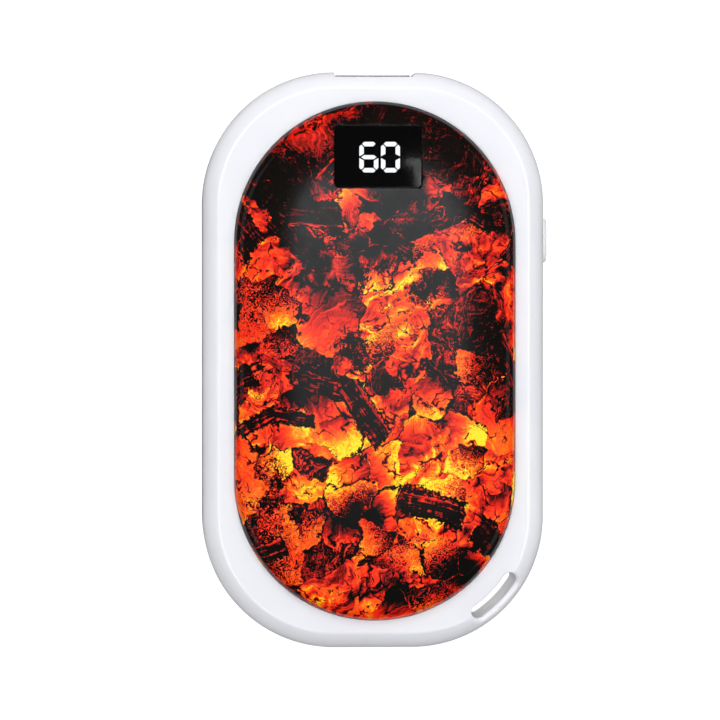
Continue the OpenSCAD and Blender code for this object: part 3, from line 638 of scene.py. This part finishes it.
CAD_LOOKS = {
    "front_shell": "case", "back_shell": "case", "front_cover": "ember_front", "back_cover": "ember_back",
    "front_cover_glue": "glue", "back_cover_glue": "glue", "front_spreader": "alu", "back_spreader": "alu",
    "front_heater": "film", "back_heater": "film", "front_pad": "foam", "back_pad": "foam",
    "display_window": "window", "display_housing": "housing", "display_segments_lit": "lit", "display_segments_unlit": "unlit",
    "display_board": "board", "display_pins": "gold", "main_board": "board", "usb_a_shell": "steel",
    "usb_a_tongue": "white_plastic", "usb_a_contacts": "gold", "usb_c_shell": "steel", "usb_c_tongue": "black_plastic",
    "usb_c_contacts": "gold", "controller_chip": "chip", "charger_chip": "chip", "chip_leads": "tin",
    "power_inductor": "ferrite", "board_capacitors": "capacitor", "board_resistors": "resistor", "power_button": "case",
    "switch_body": "chip", "switch_plunger": "switch", "battery_front": "pouch", "battery_back": "pouch",
    "battery_tape": "tape", "battery_tabs": "nickel", "battery_guard_board": "board", "battery_lead_plus": "wire_red",
    "battery_lead_minus": "wire_black", "heater_leads": "wire_white", "heat_sensors": "sensor", "sensor_leads": "tin",
    "case_screws": "screw",
}
for node, key in CAD_LOOKS.items():
    o = NODES[node]
    o.data.materials.clear()
    o.data.materials.append(M[key])


# ---------------------------------------------------------------- covers
def cover_z(r):
    """Height of the crown at distance r from the cover's middle line."""
    k = COV_R - COV_ER - FLAT_R
    rr = (k * k + DROP * DROP) / (2 * DROP)
    if r <= FLAT_R:
        return BODY_T
    return BODY_T - rr + math.sqrt(rr * rr - (r - FLAT_R) ** 2)


def cover_bm():
    """Dished cover with a flat-centred crown and a rounded rim."""
    loops = [pill_curve(DISH_R, RIM_Z), pill_curve(COV_R - 0.12, RIM_Z), pill_curve(COV_R, RIM_Z + 0.12)]
    zc, rc = BODY_T - DROP - COV_ER, COV_R - COV_ER
    loops.append(pill_curve(COV_R, zc))
    slope = math.asin((rc - FLAT_R) / (((rc - FLAT_R) ** 2 + DROP ** 2) / (2 * DROP)))
    steps = 14
    for k in range(1, steps + 1):
        a = (math.pi / 2 - slope) * k / steps
        loops.append(pill_curve(rc + COV_ER * math.cos(a), zc + COV_ER * math.sin(a)))
    for k in range(1, 13):
        r = rc + (FLAT_R - rc) * k / 12
        loops.append(pill_curve(r, cover_z(r)))
    loops.append(pill_curve(8.0, BODY_T))
    loops.append(pill_curve(4.0, BODY_T))
    bm = bmesh.new()
    rings = loft(bm, loops, close_first=False, close_last=True)
    # underside: ceiling of the dish
    inner = [bm.verts.new((v.co.x, v.co.y, DISH_Z)) for v in rings[0]]
    n = len(inner)
    for i in range(n):
        j = (i + 1) % n
        bm.faces.new((inner[i], inner[j], rings[0][j], rings[0][i]))
    bm.faces.new(inner)
    bmesh.ops.recalc_face_normals(bm, faces=bm.faces)
    return bm


def rrect_cutter(cx, cy, w, h, r, z0, z1, n=8):
    bm = bmesh.new()
    loft(bm, [rrect_curve(cx, cy, w, h, r, z0, n), rrect_curve(cx, cy, w, h, r, z1, n)])
    bmesh.ops.recalc_face_normals(bm, faces=bm.faces)
    return bm


front = cut(cover_bm(), rrect_cutter(WIN[0], WIN[1], WIN[2] + 0.1, WIN[3] + 0.1, WIN[4] + 0.03, DISH_Z - 1, BODY_T + 1))
soften(front, lambda c: c.z > 23.2 and abs(c.x - WIN[0]) < WIN[2] / 2 + 0.3 and abs(c.y - WIN[1]) < WIN[3] / 2 + 0.3, 0.07, 2)
piece("front_cover_shell", front, [M["ember_front"]], "case", 25, "front_cover")

back = cover_bm()
bmesh.ops.transform(back, matrix=Matrix.Translation((0, 0, BODY_T)) @ Matrix.Scale(-1, 4, (0, 0, 1)), verts=back.verts)
bmesh.ops.reverse_faces(back, faces=back.faces)
piece("back_cover_shell", back, [M["ember_back"]], "case", 25, "back_cover")


# ---------------------------------------------------------------- case halves
def case_loops():
    """Outside of a half case as loops: seam, wall, rounded edge, soft crease, face, recess and bed."""
    arc_z = FACE - math.sqrt(ER * ER - (ER - EW) ** 2)
    outer = [body_curve(0.25, SEAM), body_curve(0.09, SEAM + 0.12), body_curve(0.02, SEAM + 0.24), body_curve(0.0, SEAM + 0.36)]
    for k in range(1, 4):
        outer.append(body_curve(0.0, SEAM + 0.36 + (arc_z - SEAM - 0.36) * k / 3))
    soft = 0.34  # half width of the crease's rounding, in plan
    end = math.acos((ER - EW + soft) / ER)
    steps = 18
    for k in range(1, steps + 1):
        a = end * k / steps
        outer.append(body_curve(ER * (1 - math.cos(a)), arc_z + ER * math.sin(a)))
    p0 = (ER * (1 - math.cos(end)), arc_z + ER * math.sin(end))
    slope = math.cos(end) / math.sin(end)
    p1 = (p0[0] + (FACE - p0[1]) / slope, FACE)
    p2 = (2 * p1[0] - p0[0] + 0.05, FACE)
    for k in range(1, 7):
        t = k / 6
        u, v = ((1 - t) ** 2 * p0[i] + 2 * t * (1 - t) * p1[i] + t * t * p2[i] for i in (0, 1))
        outer.append(body_curve(u, v))
    ref = body_curve(p2[0], FACE)
    lip = 0.10
    for t in (0.3, 0.6, 0.85, 1.0):
        tgt = pill_near(ref, BED_R + lip, FACE)
        outer.append([(a[0] + (b[0] - a[0]) * t, a[1] + (b[1] - a[1]) * t, FACE) for a, b in zip(ref, tgt)])
    for k in range(1, 5):
        a = math.pi / 2 * k / 4
        outer.append(pill_near(ref, BED_R + lip * (1 - math.sin(a)), FACE - lip * (1 - math.cos(a))))
    outer.append(pill_near(ref, BED_R, BED))
    return outer


def half_case():
    bm = bmesh.new()
    rings = loft(bm, case_loops(), close_first=False, close_last=True)
    seam_in = [bm.verts.new(p) for p in body_curve(WALL, SEAM)]
    top_in = [bm.verts.new(p) for p in body_curve(WALL, CEIL)]
    n = len(seam_in)
    for a, b in ((rings[0], seam_in), (seam_in, top_in)):
        for i in range(n):
            j = (i + 1) % n
            bm.faces.new((b[i], b[j], a[j], a[i]))
    bm.faces.new(top_in)
    bmesh.ops.recalc_face_normals(bm, faces=bm.faces)
    return bm


def slot_curve(grow, z, n_arc=36, n_end=16):
    r0, w, a0, a1 = SLOT_R, SLOT_W, SLOT_A0, SLOT_A1
    rm, ra = r0 + w / 2, w / 2
    da = math.degrees(math.asin(ra / rm))
    b0, b1 = math.radians(a0 + da), math.radians(a1 - da)
    out = []
    ro, ri, rc = r0 + w + grow, r0 - grow, ra + grow
    for k in range(n_arc + 1):
        b = b0 + (b1 - b0) * k / n_arc
        out.append((CX + ro * math.cos(b), -CY - ro * math.sin(b), z))
    for k in range(1, n_end):
        a = -b1 - math.pi * k / n_end
        out.append((CX + rm * math.cos(b1) + rc * math.cos(a), -CY - rm * math.sin(b1) + rc * math.sin(a), z))
    for k in range(n_arc + 1):
        b = b1 + (b0 - b1) * k / n_arc
        out.append((CX + ri * math.cos(b), -CY - ri * math.sin(b), z))
    for k in range(1, n_end):
        a = math.pi - b0 - math.pi * k / n_end
        out.append((CX + rm * math.cos(b0) + rc * math.cos(a), -CY - rm * math.sin(b0) + rc * math.sin(a), z))
    return out


def face_height(u):
    """Height of the upper face at a distance u in from the body's edge."""
    arc_z = FACE - math.sqrt(ER * ER - (ER - EW) ** 2)
    return FACE if u >= EW else arc_z + math.sqrt(max(0.0, ER * ER - (ER - max(u, 0.0)) ** 2))


def slot_cutter():
    """Slot with a rolled mouth: a wide roll over the outer bar, a small one on the inner side."""
    base = slot_curve(0.0, 0.0)
    wide = slot_curve(0.1, 0.0)
    paths = []
    for (x, y, _), (xw, yw, _) in zip(base, wide):
        nx, ny = (xw - x) / 0.1, (yw - y) / 0.1
        r = math.hypot(x - CX, y + CY)
        lean = (nx * (x - CX) + ny * (y + CY)) / r
        k = max(0.0, min(1.0, (r - SLOT_R) / SLOT_W))
        roll = 0.18 + 0.36 * k * k * (3 - 2 * k)
        curve = [(g * roll / 10, face_height(CR - r - lean * g * roll / 10)) for g in range(0, 31)]

        def nearest(zc):
            return min((math.hypot(g - roll, z - zc), g, z) for g, z in curve)

        lo, hi = FACE - 6.0, FACE - roll * 0.9
        for _i in range(40):
            m = (lo + hi) / 2
            if nearest(m)[0] > roll:
                lo = m
            else:
                hi = m
        _d, g, z = nearest(lo)
        end = math.atan2(z - lo, roll - g)
        path = [(0.0, SEAM), (0.0, lo)]
        for j in range(1, 9):
            a = end * j / 8
            path.append((roll * (1 - math.cos(a)), lo + roll * math.sin(a)))
        path.append((path[-1][0] + 0.01, BODY_T + 2))
        paths.append([(x + nx * g, y + ny * g, z) for g, z in path])
    up = [list(lp) for lp in zip(*paths)]
    down = [[(x, y, BODY_T - z) for x, y, z in lp] for lp in up[:0:-1]]
    bm = bmesh.new()
    loft(bm, down + up)
    bmesh.ops.recalc_face_normals(bm, faces=bm.faces)
    return bm


def slot_block(z0, z1):
    """Solid that leaves a wall round the slot inside a half case."""
    bm = bmesh.new()
    loft(bm, [slot_curve(1.0, z0), slot_curve(1.0, z1)])
    bmesh.ops.recalc_face_normals(bm, faces=bm.faces)
    return bm


def flat_cutter():
    """The flat across the port end, with one slanted shoulder."""
    bm = bmesh.new()
    pts = [(-6.8, FLAT_Y), (6.8, FLAT_Y), (8.3, BODY_L / 2 + 1), (-6.9, BODY_L / 2 + 1)]
    loft(bm, [[(x, y, -2) for x, y in pts], [(x, y, BODY_T + 2) for x, y in pts]])
    bmesh.ops.recalc_face_normals(bm, faces=bm.faces)
    return bm


def along_y(cx, cz, w, h, r, y0, y1, n=8):
    bm = bmesh.new()
    lp = rrect_curve(cx, cz, w, h, r, 0, n)
    loft(bm, [[(x, y0, z) for x, z, _ in lp], [(x, y1, z) for x, z, _ in lp]])
    bmesh.ops.recalc_face_normals(bm, faces=bm.faces)
    return bm


def pill_yz(hl, hh, grow, x, n=20):
    """Round-ended outline in the YZ plane about the button's centre."""
    r = hh + grow
    d = hl - hh
    out = []
    for s in (1, -1):
        for k in range(n + 1):
            a = -math.pi / 2 + math.pi * k / n + (0 if s > 0 else math.pi)
            out.append((x, 21.1 + s * d + r * math.cos(a), 12 + r * math.sin(a)))
    return out


def button_cutter():
    bm = bmesh.new()
    loft(bm, [pill_yz(3.9, 1.9, 0.15, 25.0), pill_yz(3.9, 1.9, 0.15, 33.0)])
    bmesh.ops.recalc_face_normals(bm, faces=bm.faces)
    return bm


def near_slot(c):
    r = math.hypot(c.x - CX, c.y + CY)
    return c.x > CX and c.y < -CY and SLOT_R - 0.5 < r < SLOT_R + SLOT_W + 0.5


def finish_case(bm, z_face):
    """Round the edges that the openings left."""
    soften(bm, lambda c: c.y > 49.2 and abs(c.x) < 8 and abs(c.z - SEAM) > 0.5, 0.1, 2, 24)
    soften(bm, lambda c: c.x > 29.2 and abs(c.y - 21.1) < 4.6 and abs(c.z - SEAM) < 2.4 and abs(c.z - SEAM) > 0.02, 0.12, 2)
    return bm


shell = cut(cut(half_case(), slot_block(SEAM, CEIL + 0.2), how="UNION"), slot_cutter(), flat_cutter(),
            along_y(0, 13.95, 13.4, 6.0, 0.35, 46, 53), button_cutter(),
            box_bm(0.7 - 7.7, 0.7 + 7.7, 35.7 - 5.4, 35.7 + 5.4, 18, 21.5))
shell = finish_case(shell, FACE)
piece("front_case", shell, [M["case"]], "case", 32, "front_shell")

lower = half_case()
bmesh.ops.transform(lower, matrix=Matrix.Translation((0, 0, BODY_T)) @ Matrix.Scale(-1, 4, (0, 0, 1)), verts=lower.verts)
bmesh.ops.reverse_faces(lower, faces=lower.faces)
lower = cut(cut(lower, slot_block(BODY_T - CEIL - 0.2, SEAM), how="UNION"), slot_cutter(), flat_cutter(), along_y(0, 13.95, 13.4, 6.0, 0.35, 46, 53),
            along_y(0, 8.5, 9.3, 3.56, 1.77, 46, 53, 14), button_cutter())
lower = finish_case(lower, 2)
piece("back_case", lower, [M["case"]], "case", 32, "back_shell")


# ---------------------------------------------------------------- window
def window_piece():
    """Flat lens let into the crown, its face following the crown's fall towards the port end."""
    bm = bmesh.new()
    x, y, w, h, r = WIN
    loops = [rrect_curve(x, y, w - 0.4, h - 0.4, r - 0.2, 22.25, 10), rrect_curve(x, y, w, h, r, 22.25, 10), rrect_curve(x, y, w, h, r, WIN_TOP - 0.3, 10)]
    for k in range(0, 5):
        a = math.pi / 2 * k / 4
        g = 0.12 * (1 - math.cos(a))
        loops.append(rrect_curve(x, y, w - 2 * g, h - 2 * g, r - g, WIN_TOP - 0.12 * (1 - math.sin(a)), 10))
    for g in (0.2, 0.4):
        loops.append(rrect_curve(x, y, w - 2 * g, h - 2 * g, r - g, WIN_TOP, 10))
    for lp in loops:
        for i, (px, py, pz) in enumerate(lp):
            lp[i] = (px, py, pz - WIN_TILT * (py - y))
    loft(bm, loops)
    return piece("window_lens", bm, [M["window"]], "case", 30, "display_window")


window_piece()


def segment_outline(i):
    """One segment of a figure, millimetres from the figure's lower left corner, as the CAD draws it."""
    w, h, t, g = DIGIT_W, DIGIT_H, STROKE, SEG_GAP
    m = h / 2
    if i == 0:
        pts = [(t, h), (w - t, h), (w - t / 2 - g, h - t / 2 + g), (w - t - 2 * g, h - t), (t + 2 * g, h - t), (t / 2 + g, h - t / 2 + g)]
    elif i == 6:
        pts = [(t * 0.36, m), (t, m + t * 0.46), (w - t, m + t * 0.46), (w - t * 0.36, m), (w - t, m - t * 0.46), (t, m - t * 0.46)]
    elif i == 5:
        pts = [(0, m + 2 * g), (0, h - t), (t / 2 - g, h - t / 2 - g), (t, h - t - 2 * g), (t, m + t / 2 + 2.6 * g)]
    elif i == 3:
        pts = [(x, h - y) for x, y in segment_outline(0)]
    elif i == 4:
        pts = [(x, h - y) for x, y in segment_outline(5)]
    elif i == 1:
        pts = [(w - x, y) for x, y in segment_outline(5)]
    else:
        pts = [(w - x, y) for x, y in segment_outline(4)]
    return pts


def inset_outline(pts, d):
    """Convex outline pulled in by d, counter-clockwise."""
    area2 = sum(a[0] * b[1] - b[0] * a[1] for a, b in zip(pts, pts[1:] + pts[:1]))
    if area2 < 0:
        pts = pts[::-1]
    out = []
    n = len(pts)
    for i in range(n):
        p, q, r = Vector(pts[i - 1]), Vector(pts[i]), Vector(pts[(i + 1) % n])
        e1, e2 = (q - p).normalized(), (r - q).normalized()
        n1, n2 = Vector((-e1.y, e1.x)), Vector((-e2.y, e2.x))
        k = n1 + n2
        out.append(tuple(q + k * (d / (1 + n1.dot(n2)))))
    return out


def figures_piece(name, want, mat, node, top):
    """Light guides of the two figures, each with a softly rounded face."""
    lit = {6: (0, 2, 3, 4, 5, 6), 0: (0, 1, 2, 3, 4, 5)}
    bm = bmesh.new()
    x0 = WIN[0] + 0.29 - DIGIT_W - DIGIT_GAP / 2
    y0 = WIN[1] - 0.07 - DIGIT_H / 2
    for d, figure in enumerate((6, 0)):
        for i in range(7):
            if (i in lit[figure]) != want:
                continue
            base = segment_outline(i)
            loops = []
            for g, z in ((0.02, top - 0.8), (0.02, top - 0.05), (0.035, top - 0.015), (0.07, top), (0.18, top)):
                loops.append([(x0 + d * (DIGIT_W + DIGIT_GAP) + x, y0 + y, z) for x, y in inset_outline(base, g)])
            loft(bm, loops)
    return piece(name, bm, [mat], "case", 30, node)


figures_piece("figures_lit", True, M["lit"], "display_segments_lit", 22.15)
figures_piece("figures_dark", False, M["unlit"], "display_segments_unlit", 22.15)


# ---------------------------------------------------------------- button
def button_piece():
    bm = bmesh.new()
    er = 0.5
    loops = [pill_yz(3.9 + 0.8, 1.9 + 0.8, 0, 27.2), pill_yz(3.9 + 0.8, 1.9 + 0.8, 0, 28.05), pill_yz(3.9, 1.9, 0, 28.05), pill_yz(3.9, 1.9, 0, BUTTON_X - er)]
    for k in range(1, 8):
        a = math.pi / 2 * k / 7
        loops.append(pill_yz(3.9, 1.9, -er * (1 - math.cos(a)), BUTTON_X - er + er * math.sin(a)))
    for g, d in ((0.9, 0.0), (1.5, -0.03)):
        loops.append(pill_yz(3.9, 1.9, -g, BUTTON_X + d))
    loft(bm, loops)
    nub = bmesh.new()
    bmesh.ops.create_cone(nub, cap_ends=True, segments=24, radius1=0.7, radius2=0.7, depth=2.7)
    bmesh.ops.transform(nub, matrix=Matrix.Translation((24.6 + 1.35, 21.1, 12)) @ Matrix.Rotation(math.pi / 2, 4, "Y"), verts=nub.verts)
    me = bpy.data.meshes.new("n")
    nub.to_mesh(me)
    nub.free()
    bm.from_mesh(me)
    bpy.data.meshes.remove(me)
    return piece("side_button", bm, [M["case"]], "button", 30, "power_button")


button_piece()


# ---------------------------------------------------------------- stage, lights, camera
def floor_material():
    """Bright white sweep; from underneath it is clear, so that the back can be looked at."""
    n = Nodes("studio_floor")
    v = n.noise(n.mm, 0.01, 2, 0.5)
    n.set(Base_Color=n.mix(v, (0.10, 0.10, 0.10), (0.12, 0.12, 0.12)), Roughness=0.9, Specular_IOR_Level=0.0)
    n.set(Emission_Color=(1.0, 1.0, 1.0), Emission_Strength=1.0)
    clear = n.nt.nodes.new("ShaderNodeBsdfTransparent")
    both = n.nt.nodes.new("ShaderNodeMixShader")
    side = n.nt.nodes.new("ShaderNodeNewGeometry")
    n.nt.links.new(side.outputs["Backfacing"], both.inputs[0])
    n.nt.links.new(n.p.outputs[0], both.inputs[1])
    n.nt.links.new(clear.outputs[0], both.inputs[2])
    n.nt.links.new(both.outputs[0], n.out.inputs[0])
    return n.mat


bm = bmesh.new()
bmesh.ops.create_grid(bm, x_segments=1, y_segments=1, size=6.0)
me = bpy.data.meshes.new("floor")
bm.to_mesh(me)
bm.free()
floor = bpy.data.objects.new("floor", me)
floor.location.z = -0.00005
floor.visible_glossy = False
me.materials.append(floor_material())
scene.collection.objects.link(floor)


def area(name, loc, target, size, power, colour=(1, 1, 1), glossy=True, roll=0.0):
    d = bpy.data.lights.new(name, "AREA")
    d.shape = "RECTANGLE"
    d.size, d.size_y = size
    d.energy = power
    d.color = colour
    o = bpy.data.objects.new(name, d)
    scene.collection.objects.link(o)
    o.location = loc
    o.rotation_mode = "QUATERNION"
    o.rotation_quaternion = (Vector(target) - Vector(loc)).to_track_quat("-Z", "Y") @ Matrix.Rotation(roll, 3, "Z").to_quaternion()
    o.visible_camera = False
    o.visible_glossy = glossy
    return o


def fade(light, stops):
    """Brightness along the light's own height, from its lower edge to its upper edge."""
    light.data.use_nodes = True
    nt = light.data.node_tree
    em = nt.nodes["Emission"]
    g = nt.nodes.new("ShaderNodeNewGeometry")
    sep = nt.nodes.new("ShaderNodeSeparateXYZ")
    nt.links.new(g.outputs["Parametric"], sep.inputs[0])
    r = nt.nodes.new("ShaderNodeValToRGB")
    r.color_ramp.interpolation = "EASE"
    while len(r.color_ramp.elements) < len(stops):
        r.color_ramp.elements.new(0.5)
    for e, (p, v) in zip(r.color_ramp.elements, stops):
        e.position, e.color = p, (v, v, v, 1)
    nt.links.new(sep.outputs[1], r.inputs[0])
    nt.links.new(r.outputs[0], em.inputs["Strength"])


def at(polar, toward, dist):
    """Point above the object: polar angle from straight up, towards a plan direction in degrees."""
    p, t = math.radians(polar), math.radians(toward)
    return (dist * math.sin(p) * math.cos(t), dist * math.sin(p) * math.sin(t), dist * math.cos(p) + 0.012)


area("key_top", (0.0, 0.09, 1.3), (0, 0, 0), (0.8, 0.8), 11.1, (0.975, 0.985, 1.0), glossy=False)
area("key_corner", at(55, 80, 1.3), (0, 0, 0), (0.6, 0.6), 4.0, glossy=False)
area("side_left", at(46, 180, 1.3), (0, 0, 0), (1.4, 0.85), 1.8)
area("side_right", at(46, 0, 1.3), (0, 0, 0), (1.4, 0.85), 1.85)
area("side_top", at(42, 90, 1.3), (0, 0, 0), (1.4, 0.85), 2.6, glossy=False)
area("side_low", at(30, 275, 1.3), (0, 0, 0), (1.0, 0.7), 1.1, glossy=False)
only_case = bpy.data.collections.new("lit_by_strips")
for name in ("front_case", "back_case", "side_button"):
    only_case.objects.link(bpy.data.objects[name])
for turn, power in ((180, 1.7), (135, 3.4), (90, 2.2), (45, 3.2), (0, 1.8), (330, 2.0), (275, 1.6), (225, 2.4)):
    strip = area("strip_%d" % turn, at(25, turn, 1.3), (0, 0, 0), (1.0, 0.12), power)
    strip.visible_diffuse = False
    strip.light_linking.receiver_collection = only_case
# soft fill inside the cord slot, from its inner wall towards the bar
mid_slot = math.radians((SLOT_A0 + SLOT_A1) / 2)
out_x, out_y = math.cos(mid_slot), -math.sin(mid_slot)
fill = ((CX + (SLOT_R + 0.12) * out_x) * MM, (-CY + (SLOT_R + 0.12) * out_y) * MM, 0.011)
area("slot_fill", fill, (fill[0] + out_x, fill[1] + out_y, 0.011), (0.008, 0.016), 0.00025, (1.0, 0.965, 0.88), glossy=False)
haze = area("haze_box", (0.080, -0.003, 1.45), (0.080, -0.003, 0), (0.20, 0.21), 0.33, (0.94, 0.99, 1.03))
fade(haze, [(0.0, 0.02), (0.13, 0.10), (0.31, 0.35), (0.61, 0.58), (0.79, 1.0), (1.0, 1.15)])
# small card that only the window sees: a slanted soft streak above a wedge
card = area("card_window", (0.0838, 0.12175, 1.45), (0.0838, 0.12175, 0), (0.016, 0.0145), 0.0031)


def shape_card(light):
    light.data.use_nodes = True
    nt = light.data.node_tree
    em = nt.nodes["Emission"]
    g = nt.nodes.new("ShaderNodeNewGeometry")
    sep = nt.nodes.new("ShaderNodeSeparateXYZ")
    nt.links.new(g.outputs["Parametric"], sep.inputs[0])

    def op(kind, a, b=0.0, c=0.0):
        m = nt.nodes.new("ShaderNodeMath")
        m.operation = kind
        for i, v in enumerate((a, b, c)):
            if isinstance(v, float):
                m.inputs[i].default_value = v
            else:
                nt.links.new(v, m.inputs[i])
        return m.outputs[0]

    def ramp(v, lo, hi, to0=0.0, to1=1.0):
        m = nt.nodes.new("ShaderNodeMapRange")
        m.interpolation_type = "SMOOTHSTEP"
        nt.links.new(v, m.inputs["Value"])
        for key, val in (("From Min", lo), ("From Max", hi), ("To Min", to0), ("To Max", to1)):
            m.inputs[key].default_value = val
        return m.outputs["Result"]

    u, v = sep.outputs[0], sep.outputs[1]
    slope = op("ADD", v, op("MULTIPLY", u, 0.16))
    wedge = op("MULTIPLY", ramp(op("ADD", u, op("MULTIPLY", v, 0.28)), 0.44, 0.60), ramp(slope, 0.80, 0.74))
    wedge = op("MULTIPLY", wedge, ramp(v, 0.9, 0.1, 0.8, 1.0))
    streak = op("MULTIPLY", ramp(slope, 0.83, 0.88), ramp(slope, 1.12, 1.02, 0.0, 0.95))
    streak = op("MULTIPLY", streak, ramp(u, 0.06, 0.2))
    nt.links.new(op("ADD", wedge, streak), em.inputs["Strength"])


shape_card(card)

world = bpy.data.worlds.new("studio")
scene.world = world
world.use_nodes = True
bg = world.node_tree.nodes["Background"]
bg.inputs[0].default_value = (0.95, 0.97, 1.0, 1.0)
bg.inputs[1].default_value = 0.06

scene.view_settings.view_transform = "Standard"
scene.view_settings.look = "None"

DIST, TILT_X, TILT_Y = 900.0, math.radians(2.5), math.radians(1.0)
PX_PER_MM = 5.64
mid = Vector((0, 0, 12.0))
eye = mid + DIST * Vector((-math.sin(TILT_X), math.sin(TILT_Y), math.sqrt(1 - math.sin(TILT_X) ** 2 - math.sin(TILT_Y) ** 2)))
aim = mid + Vector((-(371.5 - 360.0) / PX_PER_MM, (359.5 - 360.0) / PX_PER_MM, 0))
cam_data = bpy.data.cameras.new("camera")
cam = bpy.data.objects.new("camera", cam_data)
scene.collection.objects.link(cam)
cam_data.sensor_width = 36.0
cam_data.lens = 36.0 * PX_PER_MM * DIST / 720.0
cam_data.clip_start, cam_data.clip_end = 0.05, 20.0
cam.location = eye * MM
look = (aim - eye).normalized()
right = look.cross(Vector((0, 1, 0))).normalized()
up = right.cross(look)
cam.matrix_world = Matrix.Translation(eye * MM) @ Matrix((right, up, -look)).transposed().to_4x4()
scene.camera = cam
